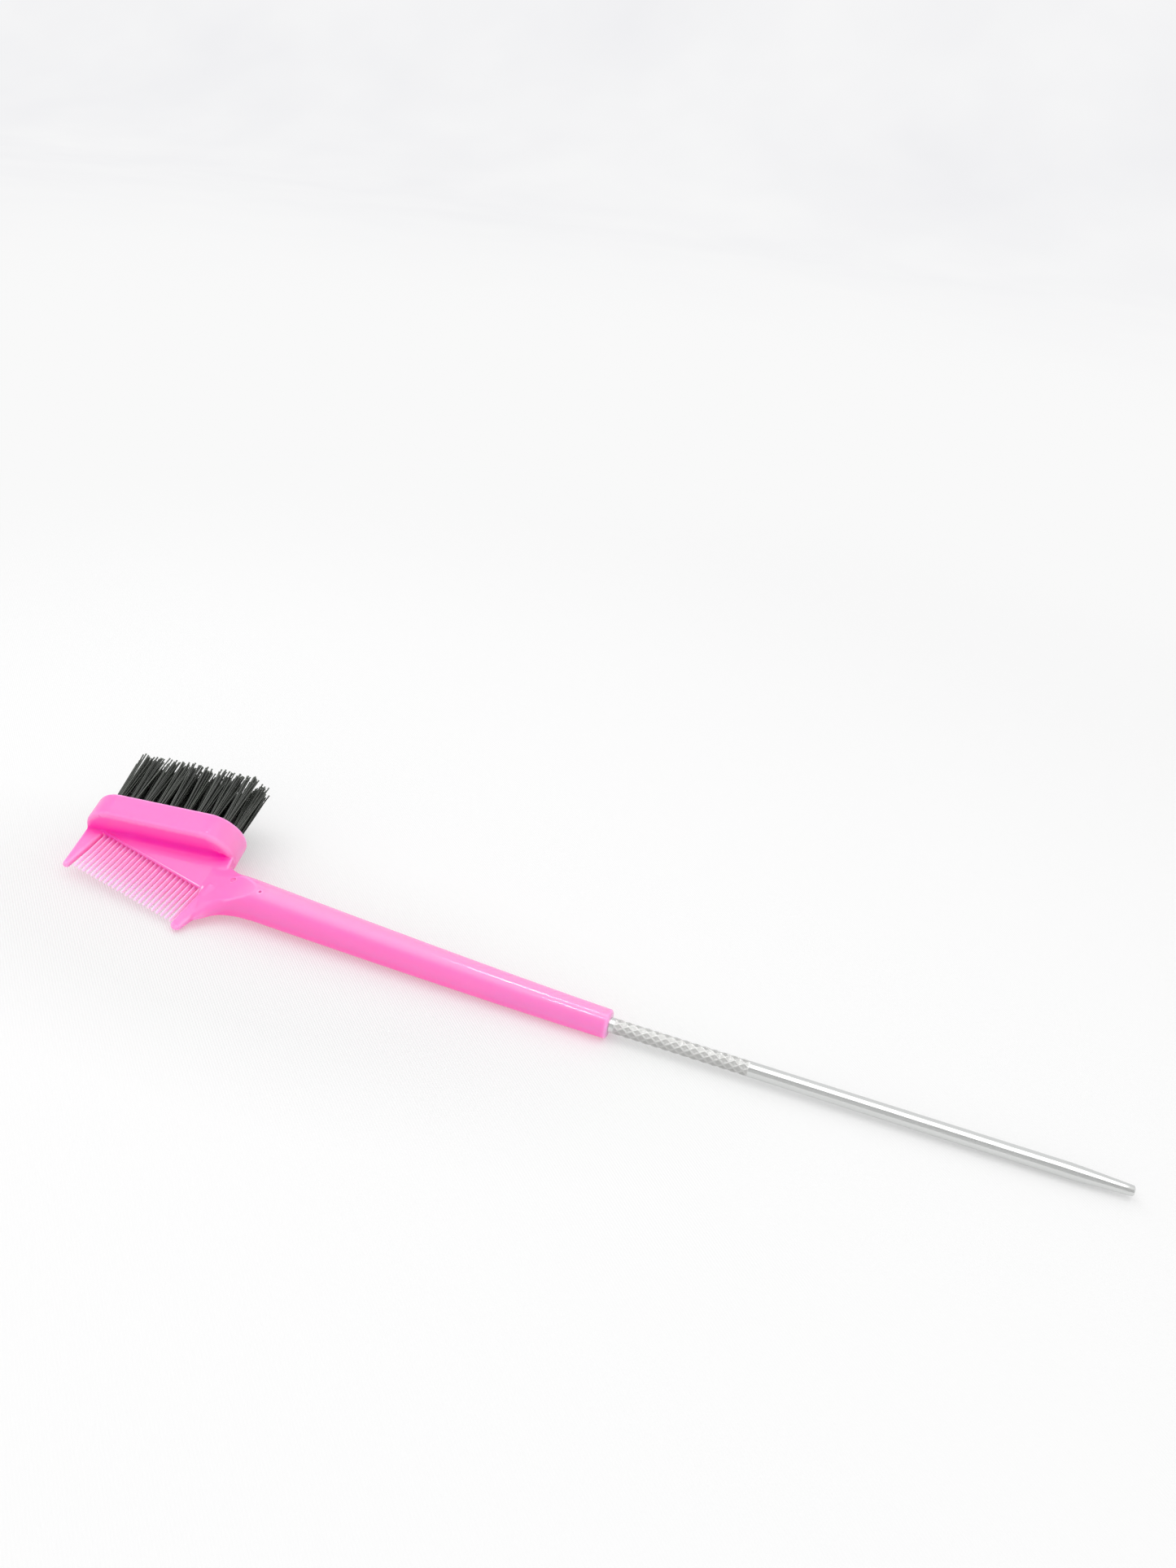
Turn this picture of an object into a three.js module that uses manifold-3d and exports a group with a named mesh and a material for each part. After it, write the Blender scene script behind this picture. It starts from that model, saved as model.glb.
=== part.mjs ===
// A hair tint brush with a comb: a moulded body whose head carries four rows of bristle tufts on one
// side and a fine comb on the other, and a knurled steel tail pin pressed into the end of its handle.
//
// Everything is drawn in the comb's own plane: x runs along the pin towards its tip, from the end of the
// handle, y runs towards the bristles, and z stands out of the plane. The brush doesn't lie flat in that
// plane: its pad is thicker than its comb, so it tips over until a guard tooth, the pad's edge and the
// tip of the pin touch the table. The last section works that pose out and turns the whole brush into it.
import * as THREE from "three";
import { mergeVertices } from "three/addons/utils/BufferGeometryUtils.js";
import Module from "manifold-3d";

const wasm = await Module();
wasm.setup();

// Sizes in millimetres, angles in degrees
const GAP = 0.3; // clearance between two pieces that touch

const PIN_RADIUS = 1.64;
const PIN_LENGTH = 105.5; // from the end of the handle to the tip
const PIN_SHANK = 25; // the stretch that is pressed into the handle
const KNURL_START = 1;
const KNURL_END = 30;
const KNURL_DEPTH = 0.2;
const KNURL_DIAMONDS = 6; // round the pin
const KNURL_ROWS = 14; // diamonds along the pin
const TAPER_LENGTH = 11;
const TIP_RADIUS = 1.05;
const PIN_SIDES = 24;

const HANDLE_LENGTH = 85; // the round stretch
const HANDLE_END_RADIUS = 3.1;
const HANDLE_HEAD_RADIUS = 4.55;
const HANDLE_BOW = 2.75; // how far the handle's middle moves towards the bristles at the head
const HANDLE_BOW_POWER = 1.35;
const HANDLE_ROUNDING = 0.5; // on its free end
const HANDLE_STEPS = 12;
const HANDLE_SIDES = 32;
const NECK_LENGTH = 14.5; // from the round handle to the plate
const NECK_FLAT = 0.83; // share of the neck's height where its flat top and bottom cut it
const NECK_PROUD = 0.1; // how far the neck's end stands over the plate

const NECK_END = -HANDLE_LENGTH - NECK_LENGTH;
const PAD_SETBACK = 16; // from the neck's end to the pad's middle
const PAD_RISE = 9.75; // from the handle's middle line to the pad's
const PAD_CENTRE = [NECK_END - PAD_SETBACK, HANDLE_BOW + PAD_RISE];
const PAD_ANGLE = 5.4; // between the pad and the pin
const PAD_LENGTH = 38;
const PAD_THICKNESS = 15;
const PAD_DEPTH = 6.9;
const PAD_ROUNDING = 1.1; // on the edge that faces the comb

const COMB_OVERLAP = 0.6; // how far the comb's first tooth lies inside the neck's end
const COMB_DROP = 0.75; // from the handle's middle line to that tooth's root
const COMB_CORNER = [NECK_END + COMB_OVERLAP, HANDLE_BOW - COMB_DROP];
const COMB_ANGLE = -11.2; // between the root line and the pin
const COMB_PITCH = 1.356;
const TOOTH_COUNT = 23;
const TOOTH_LENGTH = 11;
const TOOTH_ROOT_WIDTH = 0.78;
const TOOTH_TIP_WIDTH = 0.46;
const TOOTH_TIP_THICKNESS = 1.1;
const GUARD_LENGTH = 12.2;
const GUARD_TIP_WIDTH = 1.5;
const GUARD_TIP_THICKNESS = 1.5;
const NEAR_GUARD_WIDTH = 4.3; // at its root, on the handle's side
const NEAR_GUARD_THICKNESS = 3.6; // at its root, where it grows out of the neck
const NEAR_GUARD_LEAN = 1.1; // how far its tip leans away from the fine teeth
const FAR_GUARD_WIDTH = 5;
const FAR_GUARD_LEAN = 0.3;
const TOOTH_OVERLAP = 0.8; // how far each tooth's root reaches into the plate, narrowing as it goes
const TOOTH_INSET = 0.15; // how far the teeth's faces lie under the plate's
const PLATE_THICKNESS = 2.5;
const WEB_NEAR_INSET = 0.4; // how far the plate stops short of the pad's end at the handle
const WEB_FAR_INSET = 0.2; // and of its far end

const TUFT_PITCH = 3.45;
const ROW_PITCH = 2.5;
const ROW_TUFTS = [9, 10, 10, 9];
const STRANDS_IN_TUFT = 11;
const STRAND_RADIUS = 0.14;
const STRAND_SIDES = 3;
const TUFT_ROOT_RADIUS = 0.62;
const TUFT_TIP_RADIUS = 1.1;
const BRISTLE_LENGTH = 16.2; // from the pad's face
const BRISTLE_UNEVENNESS = 1.4; // how much shorter the shortest strand is
const SLICE_DEPTH = 1.8; // the strip that a row's strands are fused to, in its slot in the pad
const SLICE_HEIGHT = 1.5;
const SLICE_MARGIN = 0.4; // past the outermost strands at each end
const ANCHOR_SIZE = [0.4, 1.1, 1.5];

const radians = THREE.MathUtils.degToRad;

// Materials, with the colours of the photograph
const pink = () => new THREE.MeshStandardMaterial({ color: 0xff6cc0, roughness: 0.28, metalness: 0 });
const steel = () => new THREE.MeshStandardMaterial({ color: 0xc9cbcc, roughness: 0.18, metalness: 1 });
const nylon = () => new THREE.MeshStandardMaterial({ color: 0x2b302c, roughness: 0.45, metalness: 0 });
const brass = () => new THREE.MeshStandardMaterial({ color: 0xb99a52, roughness: 0.4, metalness: 1 });

// Solids: a closed geometry in, a closed geometry out
function solidOf(geometry) {
  const bare = geometry.clone();
  for (const name of ["normal", "uv"]) bare.deleteAttribute(name);
  const merged = mergeVertices(bare, 1e-5);
  return new wasm.Manifold(
    new wasm.Mesh({
      numProp: 3,
      vertProperties: new Float32Array(merged.attributes.position.array),
      triVerts: new Uint32Array(merged.index.array),
    }),
  );
}

function geometryOf(solid) {
  const { vertProperties, triVerts } = solid.getMesh();
  const geometry = new THREE.BufferGeometry();
  geometry.setAttribute("position", new THREE.BufferAttribute(vertProperties, 3));
  geometry.setIndex(new THREE.BufferAttribute(triVerts, 1));
  geometry.computeVertexNormals();
  return geometry;
}

// Moves each vertex of a geometry to where place() says
function reshape(geometry, place) {
  const position = geometry.attributes.position;
  const vertex = new THREE.Vector3();
  for (let i = 0; i < position.count; i++) {
    vertex.fromBufferAttribute(position, i);
    place(vertex);
    position.setXYZ(i, vertex.x, vertex.y, vertex.z);
  }
  return geometry;
}

// A frame in the comb's plane, turned by an angle about z: x along the feature and y across it
function frameAt([x, y], degrees) {
  const turned = new THREE.Matrix4().makeRotationZ(radians(degrees));
  return turned.setPosition(x, y, 0);
}
const padFrame = frameAt(PAD_CENTRE, PAD_ANGLE);
const combFrame = frameAt(COMB_CORNER, COMB_ANGLE);

// An outline in the plane, as a plate of an even thickness
function plate(points, thickness) {
  const shape = new THREE.Shape(points.map(([x, y]) => new THREE.Vector2(x, y)));
  const geometry = new THREE.ExtrudeGeometry(shape, { depth: thickness, bevelEnabled: false });
  return geometry.translate(0, 0, -thickness / 2);
}

// The tail pin: one turned profile, with the diamond knurl pressed into its first stretch
function knurlDepth(x, angle) {
  const along = ((x - KNURL_START) / (KNURL_END - KNURL_START)) * KNURL_ROWS * Math.PI;
  const round = (angle * KNURL_DIAMONDS) / 2;
  const ridge = Math.max(Math.abs(Math.cos(along + round)), Math.abs(Math.cos(along - round)));
  return KNURL_DEPTH * (1 - ridge ** 2);
}

function tailPin() {
  const bevel = 0.4;
  const rows = KNURL_ROWS * 2;
  const profile = [
    [0, -PIN_SHANK],
    [PIN_RADIUS - bevel, -PIN_SHANK],
    [PIN_RADIUS, -PIN_SHANK + bevel],
  ];
  for (let row = 0; row <= rows; row++) {
    profile.push([PIN_RADIUS, KNURL_START + ((KNURL_END - KNURL_START) * row) / rows]);
  }
  profile.push(
    [PIN_RADIUS, PIN_LENGTH - TAPER_LENGTH],
    [TIP_RADIUS, PIN_LENGTH - bevel],
    [TIP_RADIUS - bevel, PIN_LENGTH],
    [0, PIN_LENGTH],
  );
  const points = profile.map(([radius, x]) => new THREE.Vector2(radius, x));
  const turned = new THREE.LatheGeometry(points, PIN_SIDES).rotateZ(-Math.PI / 2);
  return reshape(turned, (vertex) => {
    if (vertex.x <= KNURL_START || vertex.x >= KNURL_END) return;
    const angle = Math.atan2(vertex.z, vertex.y);
    const radius = PIN_RADIUS - knurlDepth(vertex.x, angle);
    vertex.y = radius * Math.cos(angle);
    vertex.z = radius * Math.sin(angle);
  });
}

// The handle and neck: sections along x, each with its lower and upper edge in y, its half height and
// the share of that height where it is cut flat
function handleSections() {
  const sections = [0, 45, 90].map((turn) => {
    const x = -HANDLE_ROUNDING * (1 - Math.cos(radians(turn)));
    const radius = HANDLE_END_RADIUS - HANDLE_ROUNDING * (1 - Math.sin(radians(turn)));
    return { x, low: -radius, high: radius, height: radius, flat: 1 };
  });
  for (let step = 1; step <= HANDLE_STEPS; step++) {
    const share = step / HANDLE_STEPS;
    const radius = THREE.MathUtils.lerp(HANDLE_END_RADIUS, HANDLE_HEAD_RADIUS, share);
    const middle = HANDLE_BOW * share ** HANDLE_BOW_POWER;
    const x = -HANDLE_LENGTH * share;
    sections.push({ x, low: middle - radius, high: middle + radius, height: radius, flat: 1 });
  }
  return [...sections, ...neckSections(sections.at(-1))];
}

// The neck grows flatter and wider from the handle's last section into the plate. Its sections are
// shares of its length: along it, and how far each edge has moved.
function neckSections(start) {
  const thin = PLATE_THICKNESS / 2 + NECK_PROUD;
  const shares = [
    { share: 0.37, low: -0.05, high: 0.03, thinned: 0.3 },
    { share: 0.59, low: -0.17, high: 0.06, thinned: 0.6 },
    { share: 0.72, low: -0.29, high: 0.1, thinned: 0.77 },
    { share: 0.81, low: -0.34, high: 0.125, thinned: 0.85 },
    { share: 0.9, low: -0.15, high: 0.145, thinned: 0.92 },
    { share: 0.94, low: 0.28, high: 0.15, thinned: 0.95 },
    { share: 1, low: 0.32, high: 0.16, thinned: 1 },
  ];
  return shares.map(({ share, low, high, thinned }) => ({
    x: start.x - NECK_LENGTH * share,
    low: start.low + NECK_LENGTH * low,
    high: start.high + NECK_LENGTH * high,
    height: THREE.MathUtils.lerp(start.height, thin, thinned),
    flat: NECK_FLAT,
  }));
}

function handle() {
  const sections = handleSections();
  const tube = new THREE.CylinderGeometry(1, 1, sections.length - 1, HANDLE_SIDES, sections.length - 1);
  const top = (sections.length - 1) / 2;
  return reshape(tube, (vertex) => {
    const { x, low, high, height, flat } = sections[Math.round(top - vertex.y)];
    const across = -vertex.x;
    vertex.set(
      x,
      (low + high) / 2 + (across * (high - low)) / 2,
      height * THREE.MathUtils.clamp(vertex.z, -flat, flat),
    );
  });
}

// The pad block: a stadium of the pad's length and thickness, rounded on its back edge
function padBlock() {
  const radius = PAD_THICKNESS / 2 - PAD_ROUNDING;
  const straight = PAD_LENGTH / 2 - PAD_THICKNESS / 2;
  const outline = new THREE.Shape();
  outline.absarc(straight, 0, radius, -Math.PI / 2, Math.PI / 2);
  outline.absarc(-straight, 0, radius, Math.PI / 2, (3 * Math.PI) / 2);
  const block = new THREE.ExtrudeGeometry(outline, {
    depth: PAD_DEPTH,
    curveSegments: 14,
    bevelThickness: PAD_ROUNDING,
    bevelSize: PAD_ROUNDING,
    bevelSegments: 3,
  });
  block.rotateX(Math.PI / 2);
  block.translate(0, PAD_DEPTH / 2 + PAD_ROUNDING, 0);
  const front = new THREE.BoxGeometry(PAD_LENGTH * 2, PAD_DEPTH, PAD_THICKNESS * 2);
  front.translate(0, PAD_DEPTH, 0);
  return geometryOf(solidOf(block).subtract(solidOf(front))).applyMatrix4(padFrame);
}

// A tooth of the comb: its middle line at x = middle, tapering in width and thickness down to a round tip
function tooth({ middle, tipMiddle, rootWidth, tipWidth, length, thickness, tipThickness }) {
  const tipRadius = tipWidth / 2;
  const outline = new THREE.Shape();
  outline.moveTo(middle - rootWidth / 4, TOOTH_OVERLAP);
  outline.lineTo(middle - rootWidth / 2, TOOTH_OVERLAP / 2);
  outline.absarc(tipMiddle, tipRadius - length, tipRadius, Math.PI, 2 * Math.PI);
  outline.lineTo(middle + rootWidth / 2, TOOTH_OVERLAP / 2);
  outline.lineTo(middle + rootWidth / 4, TOOTH_OVERLAP);
  const geometry = new THREE.ExtrudeGeometry(outline, { depth: 1, bevelEnabled: false, curveSegments: 4 });
  return reshape(geometry, (vertex) => {
    const share = THREE.MathUtils.clamp(-vertex.y / length, 0, 1);
    vertex.z = (vertex.z - 0.5) * THREE.MathUtils.lerp(thickness, tipThickness, share);
  }).applyMatrix4(combFrame);
}

// The two wide teeth: each starts one gap away from its last fine tooth
const FINE_SPAN = (TOOTH_COUNT - 1) * COMB_PITCH;
const GUARD_EDGE = COMB_PITCH - TOOTH_ROOT_WIDTH / 2;
function guardTooth({ edge, side, rootWidth, lean, thickness }) {
  return tooth({
    middle: edge + (side * rootWidth) / 2,
    tipMiddle: edge + side * (GUARD_TIP_WIDTH / 2 + lean),
    rootWidth,
    tipWidth: GUARD_TIP_WIDTH,
    length: GUARD_LENGTH,
    thickness,
    tipThickness: GUARD_TIP_THICKNESS,
  });
}
function nearGuard() {
  return guardTooth({
    edge: GUARD_EDGE,
    side: 1,
    rootWidth: NEAR_GUARD_WIDTH,
    lean: NEAR_GUARD_LEAN,
    thickness: NEAR_GUARD_THICKNESS,
  });
}

function farGuard() {
  return guardTooth({
    edge: -FINE_SPAN - GUARD_EDGE,
    side: -1,
    rootWidth: FAR_GUARD_WIDTH,
    lean: FAR_GUARD_LEAN,
    thickness: PLATE_THICKNESS - 2 * TOOTH_INSET,
  });
}

function fineTeeth() {
  return Array.from({ length: TOOTH_COUNT }, (_, index) => {
    const middle = -index * COMB_PITCH;
    return tooth({
      middle,
      tipMiddle: middle,
      rootWidth: TOOTH_ROOT_WIDTH,
      tipWidth: TOOTH_TIP_WIDTH,
      length: TOOTH_LENGTH,
      thickness: PLATE_THICKNESS - 2 * TOOTH_INSET,
      tipThickness: TOOTH_TIP_THICKNESS,
    });
  });
}

// The web between the comb's root line and the pad
function web() {
  const onComb = (x) => new THREE.Vector3(x, 0, 0).applyMatrix4(combFrame);
  const onPad = (x) => new THREE.Vector3(x, -PAD_DEPTH / 2 + 2 * PAD_ROUNDING, 0).applyMatrix4(padFrame);
  const corners = [
    onComb(-FINE_SPAN - GUARD_EDGE - FAR_GUARD_WIDTH),
    onComb(GUARD_EDGE + NEAR_GUARD_WIDTH),
    onPad(PAD_LENGTH / 2 - WEB_NEAR_INSET),
    onPad(-PAD_LENGTH / 2 + WEB_FAR_INSET),
  ];
  return plate(corners.map(({ x, y }) => [x, y]), PLATE_THICKNESS);
}

// Tufts: where each one stands in the pad's frame, x along the pad and z across its thickness
function tuftPlaces(row) {
  const count = ROW_TUFTS[row];
  const z = (row - (ROW_TUFTS.length - 1) / 2) * ROW_PITCH;
  return Array.from({ length: count }, (_, index) => ({ x: (index - (count - 1) / 2) * TUFT_PITCH, z }));
}

const PAD_FACE = PAD_DEPTH / 2;
const sliceLength = (row) => (ROW_TUFTS[row] - 1) * TUFT_PITCH + 2 * (TUFT_ROOT_RADIUS + SLICE_MARGIN);

function slot(row) {
  const [, anchorDepth] = ANCHOR_SIZE;
  const depth = SLICE_DEPTH + anchorDepth + 2 * GAP;
  const overshoot = 1;
  const box = new THREE.BoxGeometry(sliceLength(row) + 2 * GAP, depth + overshoot, SLICE_HEIGHT + 2 * GAP);
  box.translate(0, PAD_FACE - (depth - overshoot) / 2, tuftPlaces(row)[0].z);
  return box.applyMatrix4(padFrame);
}

// The moulded body: handle, neck, web, teeth and pad in one, with the pin's bore and the rows' slots cut
function mouldedBody() {
  const joined = [handle(), web(), nearGuard(), farGuard(), padBlock(), ...fineTeeth()].map(solidOf);
  const bore = new THREE.CylinderGeometry(PIN_RADIUS + GAP, PIN_RADIUS + GAP, 2 * (PIN_SHANK + GAP), PIN_SIDES);
  const cuts = [bore.rotateZ(Math.PI / 2), ...ROW_TUFTS.map((_, row) => slot(row))].map(solidOf);
  const whole = joined.reduce((sum, solid) => sum.add(solid));
  return geometryOf(cuts.reduce((rest, solid) => rest.subtract(solid), whole));
}

// Bristles: each row's strands stand in tufts on one strip, straight and fanning out a little
const GOLDEN_ANGLE = Math.PI * (3 - Math.sqrt(5));

function strand({ x, z }, row, tuft, index) {
  const reach = Math.sqrt((index + 0.5) / STRANDS_IN_TUFT);
  const angle = index * GOLDEN_ANGLE + tuft + row;
  const uneven = BRISTLE_UNEVENNESS * Math.abs(Math.sin(12.9 * index + 4.7 * tuft + 7.3 * row));
  const sunk = SLICE_DEPTH / 2;
  const length = BRISTLE_LENGTH - uneven + sunk;
  const geometry = new THREE.CylinderGeometry(STRAND_RADIUS, STRAND_RADIUS, length, STRAND_SIDES);
  return reshape(geometry, (vertex) => {
    const share = vertex.y / length + 0.5;
    const spread = reach * THREE.MathUtils.lerp(TUFT_ROOT_RADIUS, TUFT_TIP_RADIUS, share);
    vertex.set(
      x + vertex.x + spread * Math.cos(angle),
      PAD_FACE - sunk + share * length,
      z + vertex.z + spread * Math.sin(angle),
    );
  });
}

function bristleRow(row) {
  const places = tuftPlaces(row);
  const strip = new THREE.BoxGeometry(sliceLength(row), SLICE_DEPTH, SLICE_HEIGHT);
  strip.translate(0, PAD_FACE - SLICE_DEPTH / 2, places[0].z);
  const strands = places.flatMap((place, tuft) =>
    Array.from({ length: STRANDS_IN_TUFT }, (_, index) => strand(place, row, tuft, index)),
  );
  const joined = [strip, ...strands].map(solidOf).reduce((sum, solid) => sum.add(solid));
  return geometryOf(joined).applyMatrix4(padFrame);
}

// Anchors: the small metal plates that hold the tufts, on the floor of each slot
function anchor({ x, z }) {
  const [width, depth, height] = ANCHOR_SIZE;
  const plateBox = new THREE.BoxGeometry(width, depth, height);
  return plateBox.translate(x, PAD_FACE - SLICE_DEPTH - GAP - depth / 2, z).applyMatrix4(padFrame);
}

// The brush in the comb's plane
const brush = new THREE.Group();
function addPiece(name, geometry, material) {
  const mesh = new THREE.Mesh(geometry, material);
  mesh.name = name;
  brush.add(mesh);
}

addPiece("moulded_body", mouldedBody(), pink());
addPiece("tail_pin", tailPin(), steel());
ROW_TUFTS.forEach((_, row) => {
  addPiece(`bristle_row_${row + 1}`, bristleRow(row), nylon());
  tuftPlaces(row).forEach((place, tuft) => {
    const number = String(tuft + 1).padStart(2, "0");
    addPiece(`tuft_anchor_${row + 1}_${number}`, anchor(place), brass());
  });
});

// How the brush lies: the plane that the pin, the pad and the near guard tooth touch from above
function lowestPoint(geometry, up) {
  const position = geometry.attributes.position;
  const points = Array.from({ length: position.count }, (_, i) => new THREE.Vector3().fromBufferAttribute(position, i));
  return points.reduce((lowest, point) => (point.dot(up) < lowest.dot(up) ? point : lowest));
}

function tableNormal() {
  const touching = [tailPin(), padBlock(), nearGuard()];
  const up = new THREE.Vector3(0, 0, 1);
  for (let round = 0; round < 10; round++) {
    const [pin, pad, guard] = touching.map((geometry) => lowestPoint(geometry, up));
    up.crossVectors(pin.sub(guard), pad.sub(guard)).normalize();
  }
  return up;
}

const tip = new THREE.Quaternion().setFromUnitVectors(tableNormal(), new THREE.Vector3(0, 0, 1));
const pinDirection = new THREE.Vector3(1, 0, 0).applyQuaternion(tip);
const heading = -Math.atan2(pinDirection.y, pinDirection.x);
brush.quaternion.setFromAxisAngle(new THREE.Vector3(0, 0, 1), heading).multiply(tip);

// The origin is the middle of the base that the brush lies on
const box = new THREE.Box3().setFromObject(brush, true);
const middle = box.getCenter(new THREE.Vector3());
brush.position.set(-middle.x, -middle.y, -box.min.z);

const tintBrush = new THREE.Group();
tintBrush.add(brush);

export default tintBrush;
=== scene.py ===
# %% [markdown]
# A hair tint brush has only a few kinds of piece: one glossy plastic moulding, a knurled steel pin,
# several hundred nylon strands and the staples that hold them. The solids that come with this lesson
# already say where each of them is. Blender's work is the finish, so all but the staples are made again
# here with finer, softer shapes, and each one stands where its solid stands.

# %% Load the frame
import math

import bmesh
import bpy
import numpy as np
from mathutils import Euler, Matrix, Vector


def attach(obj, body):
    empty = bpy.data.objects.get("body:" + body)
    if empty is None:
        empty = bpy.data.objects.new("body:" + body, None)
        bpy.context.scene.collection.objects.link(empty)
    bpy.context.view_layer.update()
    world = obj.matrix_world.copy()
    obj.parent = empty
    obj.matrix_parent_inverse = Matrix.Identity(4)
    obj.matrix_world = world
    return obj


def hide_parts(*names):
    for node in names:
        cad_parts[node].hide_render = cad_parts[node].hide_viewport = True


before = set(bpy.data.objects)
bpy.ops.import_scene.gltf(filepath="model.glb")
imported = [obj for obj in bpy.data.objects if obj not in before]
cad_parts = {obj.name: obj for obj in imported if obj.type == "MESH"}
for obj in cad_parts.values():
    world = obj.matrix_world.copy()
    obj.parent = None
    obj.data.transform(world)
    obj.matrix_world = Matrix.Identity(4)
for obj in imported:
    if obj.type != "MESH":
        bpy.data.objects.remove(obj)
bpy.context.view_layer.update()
scene = bpy.context.scene
scene.view_settings.view_transform = "Standard"

# %% [markdown]
# The brush doesn't lie flat. Its bristle pad is thicker than its comb, so it tips over until a guard
# tooth, the pad's edge and the pin's tip touch the table. Drawing in that tipped pose would be hard, so
# everything is drawn in the comb's own plane, in millimetres: x runs along the pin to its tip from the
# end of the handle, y runs towards the bristles, and z stands out of the plane. One matrix, LYING, then
# lays each finished mesh down on the table and turns it into metres.

# %% The brush's own plane
LYING_TURN = Euler([math.radians(a) for a in (18.12204, 0.69873, 0)])
LYING_PLACE = Vector((0.0145892, -0.0113259, 0.0030949))
LYING = Matrix.Translation(LYING_PLACE) @ LYING_TURN.to_matrix().to_4x4() @ Matrix.Scale(0.001, 4)


def in_plane(place, degrees):
    """A frame in the comb's plane, turned by an angle: x along the feature and y across it."""
    turn = Matrix.Rotation(math.radians(degrees), 4, "Z")
    return Matrix.Translation((*place, 0)) @ turn


PAD = in_plane((-115.5, 12.5), 5.4)
COMB = in_plane((-98.9, 2.0), -11.2)
print("tipped about its length by", round(math.degrees(LYING_TURN.x), 1), "degrees")

# %% [markdown]
# The camera comes before the pieces, because it decides how fine they have to be. Its place and turn
# were worked out from the straight edges in the photograph: the handle, the pin, the pad and the comb
# all have to land on their own outlines. The lens that fits is a wide one, 27 mm on an upright full
# frame.

# %% Camera
CAMERA_PLACE = Vector((0.052629, -0.195428, 0.170917))
CAMERA_TURN = Euler([math.radians(a) for a in (59.3549, -5.9756, 18.4423)])
FRAME_HEIGHT = 36
LENS = 27.03
NEAREST_SEEN = 0.01
camera = bpy.data.objects.new("camera", bpy.data.cameras.new("camera"))
camera.data.sensor_fit = "VERTICAL"
camera.data.sensor_height = FRAME_HEIGHT
camera.data.lens = LENS
camera.data.clip_start = NEAREST_SEEN
camera.location = CAMERA_PLACE
camera.rotation_euler = CAMERA_TURN
scene.collection.objects.link(camera)
scene.camera = camera
print("lens:", LENS, "mm, camera", round(CAMERA_PLACE.length, 3), "m from the middle")

# %% [markdown]
# Nearly every piece here is a loft: a row of closed rings joined by a skin. A handle, a comb's tooth, a
# pin and a bristle only differ in their rings. Keeping one function for all of them means that each
# piece is described by its sections, as a maker would draw it.

# %% Lofts and pieces
def loft(bm, rings):
    """Joins closed rings of points with quads and closes both ends."""
    loops = [[bm.verts.new(p) for p in ring] for ring in rings]
    count = len(loops[0])
    for lower, upper in zip(loops, loops[1:]):
        for i in range(count):
            j = (i + 1) % count
            bm.faces.new((lower[i], lower[j], upper[j], upper[i]))
    bm.faces.new(reversed(loops[0]))
    bm.faces.new(loops[-1])


def mesh_object(name, bm):
    """A new object, still in millimetres in the brush's plane."""
    bmesh.ops.recalc_face_normals(bm, faces=bm.faces)
    mesh = bpy.data.meshes.new(name)
    bm.to_mesh(mesh)
    bm.free()
    made = bpy.data.objects.new(name, mesh)
    scene.collection.objects.link(made)
    return made


def settle(piece):
    """Turns the piece's modifiers into plain mesh."""
    bpy.context.view_layer.update()
    shown = piece.evaluated_get(bpy.context.evaluated_depsgraph_get())
    finished = bpy.data.meshes.new_from_object(shown)
    piece.modifiers.clear()
    piece.data = finished


def lay_down(piece, slot, *nodes, smooth_angle=40):
    """Puts a finished piece on the table, rides it on the body and lets it stand for its solids."""
    piece.data.transform(LYING)
    piece.data.shade_smooth()
    piece.data.set_sharp_from_angle(angle=math.radians(smooth_angle))
    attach(piece, "root")
    if nodes:
        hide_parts(*nodes)
    print(piece.name, len(piece.data.polygons), "faces")


def through(stations, x):
    """A smooth curve through (x, value) stations, read at x."""
    xs, values = np.array(sorted(stations), float).T
    slopes = np.gradient(values, xs)
    i = np.clip(np.searchsorted(xs, x) - 1, 0, len(xs) - 2)
    span = xs[i + 1] - xs[i]
    t = np.clip((x - xs[i]) / span, 0, 1)
    ease = t * t * (3 - 2 * t)
    bend = span * (slopes[i] * t * (1 - t) ** 2 - slopes[i + 1] * t * t * (1 - t))
    return values[i] * (1 - ease) + values[i + 1] * ease + bend


# %% [markdown]
# The handle and neck are one tapering shape. The handle is round and bows a little towards the
# bristles. In the neck the same round shape grows wider, and a flat plane cuts its top and bottom
# lower and lower until it reaches the comb's plate. Cutting a round section with a sloping plane is
# what gives the V that narrows to a point where the handle starts.

# %% Handle and neck
HANDLE_LENGTH = 85
HANDLE_RADII = (3.1, 4.55)
HANDLE_BOW = 2.75
HANDLE_BOW_POWER = 1.35
HANDLE_ROUNDING = 0.45
HANDLE_RINGS = 56
NECK_END = -99.5
NECK_RINGS = 34
LOWER_EDGE = [
    (-85, -1.8), (-90.4, -2.5), (-93.6, -4.3), (-95.4, -6), (-96.7, -6.6), (-98, -4), (-99.5, 2.8)]
UPPER_EDGE = [
    (-85, 7.3), (-90.4, 7.7), (-93.6, 8.2), (-95.4, 8.8), (-96.7, 9.1), (-98, 9.4), (-99.5, 9.6)]
HALF_HEIGHT = [
    (-85, 4.55), (-88, 4.5), (-90.4, 4.1), (-92, 3.2), (-93.6, 2.55), (-95.4, 2.05), (-99.5, 1.3)]
FLAT_HEIGHT = [
    (-85, 4.55), (-87, 4.0), (-90.4, 2.95), (-93.6, 2.15), (-95.4, 1.75), (-98, 1.4), (-99.5, 1.2)]
ROUND_STEPS = 96


def handle_radius(share):
    """The round handle's radius, at a share of its length from its free end."""
    return HANDLE_RADII[0] + (HANDLE_RADII[1] - HANDLE_RADII[0]) * share


def handle_middle(share):
    """How far the handle's middle line has bowed towards the bristles there."""
    return HANDLE_BOW * share**HANDLE_BOW_POWER


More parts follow.
